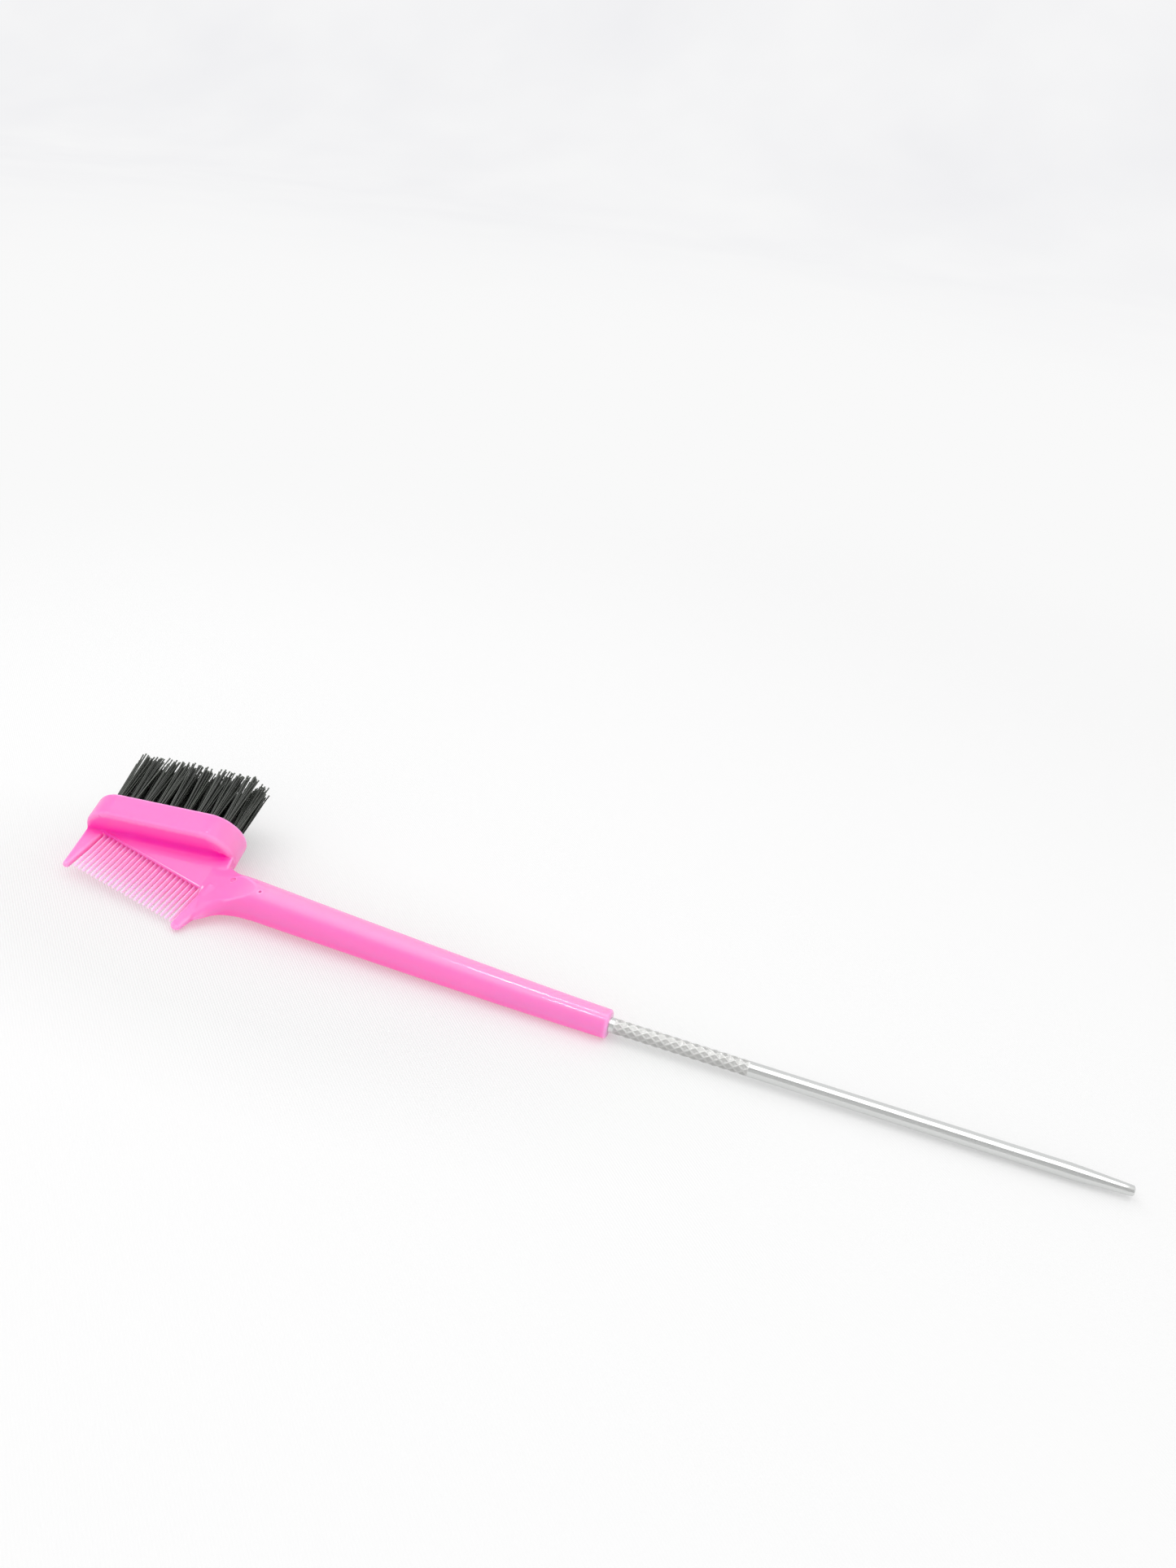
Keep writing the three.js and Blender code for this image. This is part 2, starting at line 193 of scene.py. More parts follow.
def handle_section(x):
    """Lower edge, upper edge, half height and flat height at x."""
    if x > -HANDLE_LENGTH:
        share = max(-x, 0) / HANDLE_LENGTH
        inset = HANDLE_ROUNDING * (1 - math.sin(math.acos(max(0, 1 + x / HANDLE_ROUNDING))))
        radius = handle_radius(share) - inset
        middle = handle_middle(share)
        return middle - radius, middle + radius, radius, radius
    return tuple(float(through(s, x)) for s in (LOWER_EDGE, UPPER_EDGE, HALF_HEIGHT, FLAT_HEIGHT))


def handle_ring(x):
    low, high, height, flat = handle_section(x)
    ring = []
    for step in range(ROUND_STEPS):
        turn = 2 * math.pi * step / ROUND_STEPS
        y = (low + high) / 2 + (high - low) / 2 * math.cos(turn)
        ring.append((x, y, max(-flat, min(flat, height * math.sin(turn)))))
    return ring


def handle_stations():
    end = [-HANDLE_ROUNDING * (1 - math.cos(math.radians(a))) for a in (0, 22, 45, 67, 90)]
    round_part = np.linspace(-1, 1 - HANDLE_LENGTH, HANDLE_RINGS)
    return [*end, *round_part, *np.linspace(-HANDLE_LENGTH, NECK_END, NECK_RINGS)]


body = bmesh.new()
loft(body, [handle_ring(x) for x in handle_stations()])
print("handle and neck:", len(body.faces), "faces")

# %% [markdown]
# The pad is a block with round ends that holds the bristles. Its long edges are softly rounded. A
# bevel modifier could round them, but the same outline stacked a few times, each time drawn in a little
# less, gives even faces all the way round.

# %% Pad
PAD_LENGTH = 38
PAD_THICKNESS = 15
PAD_DEPTH = 6.9
PAD_STEPS = 120
BACK_ROUNDING = [(0, 1.15), (0.12, 0.6), (0.34, 0.3), (0.62, 0.1), (1.05, 0)]
FRONT_ROUNDING = [(0.45, 0), (0.2, 0.1), (0.06, 0.25), (0, 0.5)]


def stadium(inset, y):
    """The pad's outline, drawn in by inset, at depth y."""
    radius = PAD_THICKNESS / 2 - inset
    straight = PAD_LENGTH / 2 - PAD_THICKNESS / 2
    ring = []
    for step in range(PAD_STEPS):
        turn = math.radians(-90 + (step + 0.5) * 360 / PAD_STEPS)
        side = 1 if step < PAD_STEPS / 2 else -1
        across = side * straight + radius * math.cos(turn)
        ring.append(PAD @ Vector((across, y, radius * math.sin(turn))))
    return ring


def pad_rings():
    back = [stadium(inset, -PAD_DEPTH / 2 + y) for y, inset in BACK_ROUNDING]
    return back + [stadium(inset, PAD_DEPTH / 2 - y) for y, inset in FRONT_ROUNDING]


loft(body, pad_rings())
print("with the pad:", len(body.faces), "faces")

# %% [markdown]
# The comb's plate runs from the teeth's roots into the pad. Where it meets the pad's back, a hollow
# fillet fills the corner, because a mould never has a sharp inside corner: the plastic would tear
# there. The fillet is a loft along that corner, so that it can shrink where the teeth's roots come
# near. The line of the roots isn't quite parallel to the comb's own frame, so it has a frame too.

# %% Comb plate and fillet
PLATE_THICKNESS = 2.5
PLATE_INSETS = (0.4, 0.2)
PLATE_INTO_PAD = 1
COMB_PITCH = 1.356
TOOTH_COUNT = 23
FINE_SPAN = (TOOTH_COUNT - 1) * COMB_PITCH
GUARD_EDGE = 0.966
NEAR_GUARD_WIDTH = 4.3
FAR_GUARD_WIDTH = 5
ROOT_SHIFT = 1.2
ROOT_TURN = 0.96
ROOTS = COMB @ Matrix.Translation((0, -ROOT_SHIFT, 0)) @ Matrix.Rotation(math.radians(-ROOT_TURN), 4, "Z")


def slab(corners, thickness):
    """A plate of an even thickness with the corners' outline."""
    half = thickness / 2
    loft(body, [[(x, y, z) for x, y in corners] for z in (-half, half)])


def plate_corners():
    """The plate runs from the guard teeth's outer edges to just inside the pad's ends."""
    near_inset, far_inset = PLATE_INSETS
    comb_ends = (-FINE_SPAN - GUARD_EDGE - FAR_GUARD_WIDTH, GUARD_EDGE + NEAR_GUARD_WIDTH)
    pad_ends = (PAD_LENGTH / 2 - near_inset, -PAD_LENGTH / 2 + far_inset)
    on_comb = [ROOTS @ Vector((x, 0, 0)) for x in comb_ends]
    on_pad = [PAD @ Vector((x, -PLATE_INTO_PAD, 0)) for x in pad_ends]
    return [(p.x, p.y) for p in on_comb + on_pad]


slab(plate_corners(), PLATE_THICKNESS)


COVE_REACH = 1.7
COVE_LEAST = 0.05
COVE_INSET = 0.5
COVE_FADE = 5
COVE_RINGS = 40
COVE_STEPS = 6
COVE_BURIED = (1, 0.6)
ROOM_FOR_TEETH = 0.9


def cove_reach(x):
    """The cove dies out at the pad's ends, and stops short of the teeth's roots."""
    from_end = PAD_LENGTH / 2 - COVE_INSET - abs(x)
    room = (ROOTS.inverted() @ PAD @ Vector((x, -PAD_DEPTH / 2, 0))).y - ROOM_FOR_TEETH
    return max(COVE_LEAST, min(COVE_REACH * min(1, from_end / COVE_FADE), room))


def cove(side):
    """The hollow fillet in the corner between the pad's back and the plate's face."""
    back = -PAD_DEPTH / 2
    face = PLATE_THICKNESS / 2
    inside_pad = back + COVE_BURIED[0]
    inside_plate = face - COVE_BURIED[1]
    turns = [math.pi / 2 * step / COVE_STEPS for step in range(COVE_STEPS + 1)]
    rings = []
    for x in np.linspace(COVE_INSET - PAD_LENGTH / 2, PAD_LENGTH / 2 - COVE_INSET, COVE_RINGS):
        reach = cove_reach(x)
        arc = [(back - reach + reach * math.sin(a), face + reach - reach * math.cos(a)) for a in turns]
        under = [(inside_pad, inside_plate), (back - reach, inside_plate)]
        corners = [*under, *arc, (inside_pad, face + reach)]
        rings.append([PAD @ Vector((x, y, side * z)) for y, z in corners])
    loft(body, rings)


for side in (1, -1):
    cove(side)
print("with the plate and the fillets:", len(body.faces), "faces")

# %% [markdown]
# A tooth is a section that shrinks towards its tip and closes in a round end. The section is a circle
# whose sine and cosine are raised to a power: one number makes it squarer or nearer a diamond, so the
# stout guard teeth at the comb's ends and the fine ones can share a function.

# %% Guard teeth
def tooth_ring(middle, along, width, thickness, points, fullness):
    """A section of a tooth: an oval at a fullness of 1, squarer below it and nearer a diamond above."""
    ring = []
    for step in range(points):
        turn = 2 * math.pi * (step + 0.5) / points
        soft = [math.copysign(abs(f(turn)) ** fullness, f(turn)) for f in (math.cos, math.sin)]
        ring.append(COMB @ Vector((middle + width / 2 * soft[0], along, thickness / 2 * soft[1])))
    return ring


TIP_SHARES = [(0, 1), (0.35, 0.94), (0.65, 0.76), (0.88, 0.47), (1, 0.2)]


def tooth(bm, root, tip, length, points, overlap, fullness):
    """root and tip are each (middle, width, thickness). The last stretch closes in a round tip."""
    round_off = tip[1] / 2
    stations = [(overlap, 0, 1), *((-(length - round_off) * s, s, 1) for s in (0, 0.25, 0.5, 0.75))]
    stations += [(round_off - length - round_off * share, 1, shrink) for share, shrink in TIP_SHARES]
    rings = []
    for along, share, shrink in stations:
        middle, width, thickness = (r + (t - r) * share for r, t in zip(root, tip))
        rings.append(tooth_ring(middle, along, width * shrink, thickness * shrink, points, fullness))
    loft(bm, rings)


GUARD_LENGTH = 12.2
GUARD_TIP_THICKNESS = 1.5
GUARD_POINTS = 24
GUARD_OVERLAP = 0.8
GUARD_FULLNESS = 0.55


def guard(edge, side, width, tip_width, lean, thickness):
    """A guard tooth, from edge outwards. Its tip leans away from the fine teeth by lean."""
    root = (edge + side * width / 2, width, thickness)
    tip = (edge + side * (tip_width / 2 + lean), tip_width, GUARD_TIP_THICKNESS)
    tooth(body, root, tip, GUARD_LENGTH, GUARD_POINTS, GUARD_OVERLAP, GUARD_FULLNESS)


guard(GUARD_EDGE, 1, NEAR_GUARD_WIDTH, tip_width=2.7, lean=-0.2, thickness=3.6)
guard(-FINE_SPAN - GUARD_EDGE, -1, FAR_GUARD_WIDTH, tip_width=1.5, lean=0.3, thickness=2.4)
print("with the guard teeth:", len(body.faces), "faces")
moulding = mesh_object("moulded_body_skin", body)

# %% [markdown]
# A real moulding has no seams between its handle, neck, pad and plate, and every corner is a little
# soft. A voxel remesh gives both at once: it wraps one skin round all the overlapping shapes, and a few
# rounds of smoothing then roll its corners over. The fine teeth are too slim to keep their shape in
# voxels of this size, so they are left out here and joined afterwards.

# %% Melt the body into one skin
VOXEL = 0.23
SOFTENING = 0.5
SOFTENING_ROUNDS = 4
remesh = moulding.modifiers.new("one_skin", "REMESH")
remesh.mode = "VOXEL"
remesh.voxel_size = VOXEL
soften = moulding.modifiers.new("soft_corners", "SMOOTH")
soften.factor = SOFTENING
soften.iterations = SOFTENING_ROUNDS
settle(moulding)
print("one skin:", len(moulding.data.polygons), "faces")

# %% [markdown]
# A voxel skin is a little wavy, and a glossy handle shows that at once in its reflections. Its true
# shape is known, so every point of the round handle is moved in or out until it lies on it again. A
# reflection follows the normals more than the points, so the exact normals are worked out as well.
# They are put on last, when the finished mesh lies on the table.

# %% True up the round handle
TRUED_FROM = 0.7
TRUED_OVER = 1
TRUED_TO = 84
TRUED_FADE = 4
SIDE_SHARE = 0.8
POLISHED_FROM = 0.9
SKIN_TOLERANCE = 0.02
LEAST_DISTANCE = 0.001


def points_of(piece):
    count = len(piece.data.vertices)
    points = np.empty(count * 3)
    piece.data.vertices.foreach_get("co", points)
    return points.reshape(-1, 3)


def true_up_handle(piece):
    """Moves the points on the handle's side onto its true round shape, less and less towards its ends."""
    points = points_of(piece)
    x = points[:, 0]
    share = np.clip(-x / HANDLE_LENGTH, 0, 1)
    radius = handle_radius(share)
    middle = handle_middle(share)
    across = points[:, 1] - middle
    distance = np.maximum(np.hypot(across, points[:, 2]), LEAST_DISTANCE)
    at_neck = np.clip((x + TRUED_TO) / TRUED_FADE, 0, 1)
    at_free_end = np.clip((-x - TRUED_FROM) / TRUED_OVER, 0, 1)
    how_much = at_neck * at_free_end * (distance > SIDE_SHARE * radius)
    stretch = 1 + (radius / distance - 1) * how_much
    points[:, 1] = middle + across * stretch
    points[:, 2] *= stretch
    piece.data.vertices.foreach_set("co", points.ravel())
    piece.data.update()
    print("moved at most", round(float(np.abs(distance * (stretch - 1)).max()), 3), "mm")


true_up_handle(moulding)


def handle_normals(points):
    """The exact normal at each point of the round handle, and zeros at all other points."""
    x, y, z = points.T
    share = np.clip(-x / HANDLE_LENGTH, LEAST_DISTANCE, 1)
    across = y - handle_middle(share)
    distance = np.maximum(np.hypot(across, z), LEAST_DISTANCE)
    bow_slope = -HANDLE_BOW_POWER * HANDLE_BOW * share ** (HANDLE_BOW_POWER - 1) / HANDLE_LENGTH
    taper_slope = (HANDLE_RADII[0] - HANDLE_RADII[1]) / HANDLE_LENGTH
    lengthways = -across / distance * bow_slope - taper_slope
    normals = np.stack([lengthways, across / distance, z / distance], 1)
    on_skin = np.abs(distance - handle_radius(share)) < SKIN_TOLERANCE
    on_side = (x < -POLISHED_FROM) & (x > TRUED_FADE - HANDLE_LENGTH) & on_skin
    return normals * on_side[:, None]


# %% [markdown]
# The fine teeth taper from the plate to their round tips, and lie a little under the plate's faces, so
# that the plate ends in a thin step along their roots. Their section is nearly a diamond, which gives
# each one a ridge along its middle. A thin raised line runs across all the roots. A boolean modifier
# joins all the teeth at once, and a second one the line.

# %% Join the fine teeth and the line along their roots
TOOTH_ROOT = (1.15, 2.3)
TOOTH_TIP = (0.62, 1.1)
TOOTH_LENGTH = 11
TOOTH_POINTS = 16
TOOTH_OVERLAP = 0.6
TOOTH_FULLNESS = 1.7


def boolean(target, tool, operation):
    cut = target.modifiers.new(operation.lower(), "BOOLEAN")
    cut.operation = operation
    cut.solver = "EXACT"
    cut.object = tool
    settle(target)
    bpy.data.objects.remove(tool)


BEAD_RADIUS = 0.4
BEAD_PROUD = 0.12
BEAD_START = -30
BEAD_STEPS = 24
BEAD_STATIONS = [(BEAD_START, BEAD_PROUD), (GUARD_EDGE - 1.6, BEAD_PROUD), (GUARD_EDGE + 0.4, -0.05)]


def root_bead(bm):
    """The raised line along the teeth's roots. It is proud of both faces and sinks in at its near end."""
    rings = []
    for x, proud in BEAD_STATIONS:
        height = PLATE_THICKNESS / 2 + proud
        turns = np.linspace(0, 2 * math.pi, BEAD_STEPS, endpoint=False)
        section = [(BEAD_RADIUS * (1 + math.cos(t)), height * math.sin(t)) for t in turns]
        rings.append([ROOTS @ Vector((x, y, z)) for y, z in section])
    loft(bm, rings)


teeth = bmesh.new()
for index in range(TOOTH_COUNT):
    middle = -index * COMB_PITCH
    root = (middle, *TOOTH_ROOT)
    tip = (middle, *TOOTH_TIP)
    tooth(teeth, root, tip, TOOTH_LENGTH, TOOTH_POINTS, TOOTH_OVERLAP, TOOTH_FULLNESS)
boolean(moulding, mesh_object("fine_teeth", teeth), "UNION")
bead = bmesh.new()
root_bead(bead)
boolean(moulding, mesh_object("root_bead", bead), "UNION")
print("with the teeth:", len(moulding.data.polygons), "faces")

# %% [markdown]
# The pad is drilled for its tufts and the handle for the pin. The neck has a small dark dot and a faint
# oval, which are probably marks of the mould. All are round tools in one object, cut away by a single
# boolean modifier.

# %% Cut the holes
TUFT_PITCH = 3.45
ROW_PITCH = 2.5
ROW_TUFTS = (9, 10, 10, 9)
HOLE_RADIUS = 0.85
HOLE_DEPTH = 3.7
PIN_RADIUS = 1.63
PIN_CLEARANCE = 0.03
PIN_BORE_DEPTH = 25.3
DOT_PLACE = (-83.7, 2.7, 4.5)
DOT_RADIUS = 0.35
DOT_DEPTH = 1.2
OVAL_PLACE = (-92.2, 4.7, 2.3)
OVAL_RADIUS = 0.7
OVAL_DEPTH = 0.07
FINE_SIDES = 48


def tuft_places(row):
    count = ROW_TUFTS[row]
    z = (row - (len(ROW_TUFTS) - 1) / 2) * ROW_PITCH
    return [((i - (count - 1) / 2) * TUFT_PITCH, z) for i in range(count)]


def drill(bm, place, direction, radius, depth, sides=24):
    """A round tool that starts a little outside the surface."""
    turn = direction.to_track_quat("Z", "Y").to_matrix()
    circle = [(math.cos(a), math.sin(a)) for a in np.linspace(0, 2 * math.pi, sides, endpoint=False)]
    rings = []
    for along in (-1, depth):
        rings.append([place + turn @ Vector((radius * c, radius * s, along)) for c, s in circle])
    loft(bm, rings)


holes = bmesh.new()
into_pad = PAD.to_3x3() @ Vector((0, -1, 0))
for row in range(len(ROW_TUFTS)):
    for x, z in tuft_places(row):
        drill(holes, PAD @ Vector((x, PAD_DEPTH / 2, z)), into_pad, HOLE_RADIUS, HOLE_DEPTH)
into_handle = Vector((-1, 0, 0))
drill(holes, Vector(), into_handle, PIN_RADIUS + PIN_CLEARANCE, PIN_BORE_DEPTH, sides=FINE_SIDES)
down = Vector((0, 0, -1))
drill(holes, Vector(DOT_PLACE), down, DOT_RADIUS, DOT_DEPTH)
drill(holes, Vector(OVAL_PLACE), down, OVAL_RADIUS, OVAL_DEPTH, sides=FINE_SIDES)
boolean(moulding, mesh_object("drills", holes), "DIFFERENCE")
print("with the holes:", len(moulding.data.polygons), "faces")

# %% [markdown]
# This plastic lets some light through, and its colour carries painted light and shade that follow its
# shape. The thin teeth are painted paler towards their tips and glow a little, as light let through, and
# so, a little, are the slim end of the handle and the pad's near end. The ridge along each tooth and the
# raised line along their roots get a painted highlight. The corner between the pad and the plate gets
# painted shade, deep because the light there has already met pink plastic once. Outer edges get a
# painted highlight, the underside painted shade and a painted glow of light coming out again, and the
# handle a painted sheen where it lies uppermost. The mesh keeps all five as numbers from 0 to 1 at its
# points. The material reads them, so the colour stays in place.

# %% Where the plastic is thin, and where light is painted on it
PAD_BACK = -PAD_DEPTH / 2
JUST_BEHIND = 0.1
WELL_BEHIND = 0.7
THIN_AT_ROOT = 0.2
THIN_DOWN_TOOTH = 0.65
THIN_AT_TIP = 0.15
RIDGE_PAINTED_HIGHLIGHT = 0.25
BEAD_PAINTED_HIGHLIGHT = 0.65
THIN_AT_GUARD_TIP = 0.1
HANDLE_END_PAINTED_LIGHT = 0.08
PAD_END_PAINTED_LIGHT = 0.2
PAD_END_FADE = (13, 18)
RIDGE_HALF_WIDTH = 0.08
RIDGE_LEAST_HEIGHT = 0.3
BEAD_MARGIN = 0.03


def seen_from(points, matrix):
    """The points in another frame's coordinates, as three columns."""
    inverse = np.array(matrix.inverted())
    return (points @ inverse[:3, :3].T + inverse[:3, 3]).T


def ramp(values, limits):
    """0 at the first limit and 1 at the second, and held at both ends."""
    start, end = limits
    return np.clip((values - start) / (end - start), 0, 1)


def between_guards(x):
    return (x < GUARD_EDGE) & (x > -FINE_SPAN - GUARD_EDGE)


def down_the_tooth(x, z, down):
    """Painted light let through, paler towards the tip, and a painted highlight on each tooth's middle
    ridge.
    """
    from_middle = np.abs(x / COMB_PITCH - np.round(x / COMB_PITCH)) * COMB_PITCH
    ridge = (from_middle < RIDGE_HALF_WIDTH) & (z > RIDGE_LEAST_HEIGHT)
    return THIN_AT_ROOT + THIN_DOWN_TOOTH * down + THIN_AT_TIP * down**6 + RIDGE_PAINTED_HIGHLIGHT * ridge


def on_root_bead(x, y, z):
    """True on the faces of the raised line, which stand just over the plate's."""
    over_plate = np.abs(z) - PLATE_THICKNESS / 2
    proud = (over_plate > BEAD_MARGIN) & (over_plate < BEAD_PROUD + BEAD_MARGIN)
    across = (y > 0) & (y < 2 * BEAD_RADIUS)
    return proud & across & (x > BEAD_START) & (x < GUARD_EDGE)


def thinness_and_painted_light(points):
    """Painted light, 0 to 1: light let through thin parts, highlights on ridges and root line, light at
    the ends.
    """
    x, y, z = seen_from(points, ROOTS)
    along_pad, across_pad, _ = seen_from(points, PAD)
    down = np.clip(-y / TOOTH_LENGTH, 0, 1)
    in_comb = between_guards(x) & (y < 0) & (across_pad < PAD_BACK - JUST_BEHIND)
    on_bead = on_root_bead(x, y, z) & (across_pad < PAD_BACK - WELL_BEHIND)
    # Painted light on the pad's near end and the handle's end.
    pad_end_light = PAD_END_PAINTED_LIGHT * ramp(along_pad, PAD_END_FADE) * (across_pad > PAD_BACK)
    handle_end_light = HANDLE_END_PAINTED_LIGHT * ramp(points[:, 0], (-HANDLE_LENGTH, 0))
    elsewhere = np.maximum(THIN_AT_GUARD_TIP * down, handle_end_light) + pad_end_light
    shares = np.where(in_comb, down_the_tooth(x, z, down), elsewhere)
    # A painted highlight on the raised line along the roots.
    return np.where(on_bead, BEAD_PAINTED_HIGHLIGHT, shares)


# %% [markdown]
# The painted shade in the corner fades with the distance from it, and towards the pad's ends. A painted
# highlight goes on the outer edges, where a point stands out of its smoothed surroundings. Cycles can
# find edges by itself, as pointiness, but a number kept on the mesh works in other renderers as well.

# %% Painted shade in the corner and painted highlights on the edges
CORNER_REACH = 2.6
CORNER_SQUEEZE = 1.3
CORNER_NEAR_FADE = (PAD_LENGTH / 2 + 0.5, PAD_LENGTH / 2 - 2)
CORNER_FAR_FADE = (-PAD_LENGTH / 2 - 2, -PAD_LENGTH / 2)
CORNER_LIGHTER_FADE = (-16, -4)
CORNER_LIGHTER = 0.75
EDGE_HEIGHTS = (0.022, 0.082)
EDGE_ROUNDS = 6
TEETH_BELOW = 0.1


def corner(points):
    """Painted shade: 1 in the corner between the pad's back and the plate, less further out and at the
    pad's ends.
    """
    x, y, z = seen_from(points, PAD)
    distance = np.hypot(CORNER_SQUEEZE * (y - PAD_BACK), np.abs(z) - PLATE_THICKNESS / 2)
    lighter = CORNER_LIGHTER + (1 - CORNER_LIGHTER) * ramp(x, CORNER_LIGHTER_FADE)
    ends = ramp(x, CORNER_NEAR_FADE) * ramp(x, CORNER_FAR_FADE) * lighter
    return np.exp(-((distance / CORNER_REACH) ** 2)) * ends


def mean_of_neighbours(values, edges):
    """Each point's value becomes the mean over the points that an edge joins to it."""
    count = len(values)
    starts, ends = edges.T
    total = np.bincount(starts, values[ends], count) + np.bincount(ends, values[starts], count)
    return total / np.maximum(np.bincount(edges.ravel(), minlength=count), 1)


def edge_painted_highlight(piece, points, normals):
    """Painted highlight: 1 on an outer edge, by how far a point stands out of the surface smoothed round
    it.
    """
    edges = np.empty(2 * len(piece.data.edges), np.int32)
    piece.data.edges.foreach_get("vertices", edges)
    edges = edges.reshape(-1, 2)
    smooth = [*points.T]
    for _ in range(EDGE_ROUNDS):
        smooth = [mean_of_neighbours(column, edges) for column in smooth]
    height = np.sum((points - np.stack(smooth, 1)) * normals, 1)
    x, y, _ = seen_from(points, COMB)
    fine_teeth = between_guards(x) & (y < TEETH_BELOW)
    return ramp(height, EDGE_HEIGHTS) * ~fine_teeth


# %% [markdown]
# With all the shares worked out, they are kept on the mesh and the moulding is laid on the table. The
# exact normals of the handle go on last, because laying a mesh down marks its sharp edges anew.

# %% Keep the notes and lay the moulding down
TOP_SHEEN_RISE = (0.65, 0.99)
HANDLE_FADE = (-90, -82)


def note(piece, name, values):
    """Keeps one number at each point of the mesh, under a name that a material can read."""
    made = piece.data.attributes.new(name, "FLOAT", "POINT")
    made.data.foreach_set("value", np.clip(values, 0, 1).astype(np.float32))


def upwards(normals):
    """The height of each normal's tip once the brush lies on the table, from -1 to 1."""
    return normals @ np.array(LYING_TURN.to_matrix())[2]


moulding_points = points_of(moulding)
moulding_normals = np.array([vertex.normal for vertex in moulding.data.vertices])
rise = upwards(moulding_normals)
on_handle = ramp(moulding_points[:, 0], HANDLE_FADE)
# Painted light where the plastic is thin, as light let through, plus painted highlights.
note(moulding, "thinness_and_painted_light", thinness_and_painted_light(moulding_points))
# Painted shade: the corner between the pad's back and the plate.
note(moulding, "corner", corner(moulding_points))
# A painted highlight on the outer edges.
note(moulding, "edge", edge_painted_highlight(moulding, moulding_points, moulding_normals))
# Painted shade and a painted glow on the underside.
note(moulding, "underside_shade_and_glow", -rise)
# A painted sheen on the handle's top.
note(moulding, "handle_top_sheen", ramp(rise, TOP_SHEEN_RISE) * on_handle)
lay_down(moulding, "pink_plastic", "moulded_body")
polished = handle_normals(moulding_points) @ np.array(LYING_TURN.to_matrix()).T
moulding.data.normals_split_custom_set_from_vertices(polished)

# %% [markdown]
# The pin is a straight length of drawn steel wire. Near the handle it carries a diamond knurl: two sets
# of ridges wind round it in opposite directions, and sunken diamonds are left between them. Two cosine
# waves that cross do the same in a formula. The other end tapers to a blunt tip.

# %% Tail pin
PIN_LENGTH = 105.5
PIN_SHANK = 25
KNURL_START = 1
KNURL_END = 30
KNURL_DEPTH = 0.18
KNURL_DIAMONDS = 6
KNURL_ROWS = 14
KNURL_SHARPNESS = 7
KNURL_FADE = 0.6
KNURL_RINGS = 233
KNURL_STEP = 0.05
TAPER_LENGTH = 11
PLAIN_RINGS = 40
PIN_TIP_RADIUS = 1.04
PIN_TIP_ROUNDING = 0.35
PIN_STEPS = 96


def pin_radius(x):
    """The plain wire's radius: even, then tapering to a tip with a rounded edge."""
    taper = max(0, (x - PIN_LENGTH + TAPER_LENGTH) / TAPER_LENGTH)
    radius = PIN_RADIUS + (PIN_TIP_RADIUS - PIN_RADIUS) * taper
    end = PIN_LENGTH - x
    if end < PIN_TIP_ROUNDING:
        rounded = math.sqrt(max(0, PIN_TIP_ROUNDING**2 - (PIN_TIP_ROUNDING - end) ** 2))
        radius -= PIN_TIP_ROUNDING - rounded
    return radius


def knurl(x, turn):
    """How deep the knurl is pressed in at this point."""
    along = (x - KNURL_START) / (KNURL_END - KNURL_START) * KNURL_ROWS * math.pi
    round_it = turn * KNURL_DIAMONDS / 2
    ridge = max(abs(math.cos(along + round_it)), abs(math.cos(along - round_it))) ** KNURL_SHARPNESS
    fade = min(1, (x - KNURL_START) / KNURL_FADE, (KNURL_END - x) / KNURL_FADE)
    return KNURL_DEPTH * (1 - ridge) * fade


def pin_ring(x):
    ring = []
    for step in range(PIN_STEPS):
        turn = 2 * math.pi * step / PIN_STEPS
        radius = pin_radius(x)
        if KNURL_START < x < KNURL_END:
            radius -= knurl(x, turn)
        ring.append((x, radius * math.cos(turn), radius * math.sin(turn)))
    return ring


tip_start = PIN_LENGTH - PIN_TIP_ROUNDING
tip_turns = [math.radians(a) for a in (20, 40, 60, 78, 90)]
pin_stations = [-PIN_SHANK, 0, KNURL_START - KNURL_STEP]
pin_stations += [*np.linspace(KNURL_START, KNURL_END, KNURL_RINGS), KNURL_END + KNURL_STEP]
pin_stations += [*np.linspace(KNURL_END, tip_start, PLAIN_RINGS)[1:]]
pin_stations += [PIN_LENGTH - PIN_TIP_ROUNDING * (1 - math.sin(a)) for a in tip_turns]
pin_mesh = bmesh.new()
loft(pin_mesh, [pin_ring(x) for x in pin_stations])
pin = mesh_object("tail_pin_steel", pin_mesh)
pin_x, pin_y, pin_z = points_of(pin).T
knurled = (pin_x > KNURL_START) & (pin_x < KNURL_END)
pressed_in_shade = np.where(knurled, PIN_RADIUS - np.hypot(pin_y, pin_z), 0)
note(pin, "knurled", knurled)
# The knurl's depth, which the steel turns into painted shade in its hollows.
note(pin, "pressed_in_shade", pressed_in_shade / KNURL_DEPTH)
lay_down(pin, "pin_steel", "tail_pin", smooth_angle=50)

# %% [markdown]
# The bristles are nylon monofilaments, folded in half and stapled into the pad's holes in tufts. A
# tuft stands tight at its root and spreads towards its cut end, the end tufts lean outwards, and no two
# strands are quite the same length. A particle system could grow them, but plain lofts keep each strand
# a real solid and let the tufts stand where the holes are.

# %% Bristles
STRANDS_IN_TUFT = 19
STRAND_RADIUS = 0.175
STRAND_SIDES = 6
BRISTLE_LENGTH = 15.75
BRISTLE_UNEVENNESS = 1.9
STRAND_SHARES = (0, 0.2, 0.4, 0.6, 0.8, 0.975, 1)
STRAND_IN_HOLE = 2
STRAND_BOW = 0.1
STRAND_LEAN = 0.3
STRAND_TILT = 0.15
STRAY_CHANCE = 0.12
STRAY_LEAN = 1.1
CUT_SWELLING = 1.3
TUFT_ROOT_RADIUS = 0.62
TUFT_SPREAD = 0.9
TUFT_LEAN = 0.35
TUFT_FLATNESS = 0.85
OUTWARD_LEAN = 0.01
OUTWARD_TILT = 0.02
SHADE_RANGE = 0.35
GOLDEN_ANGLE = math.pi * (3 - math.sqrt(5))
rng = np.random.default_rng(11)


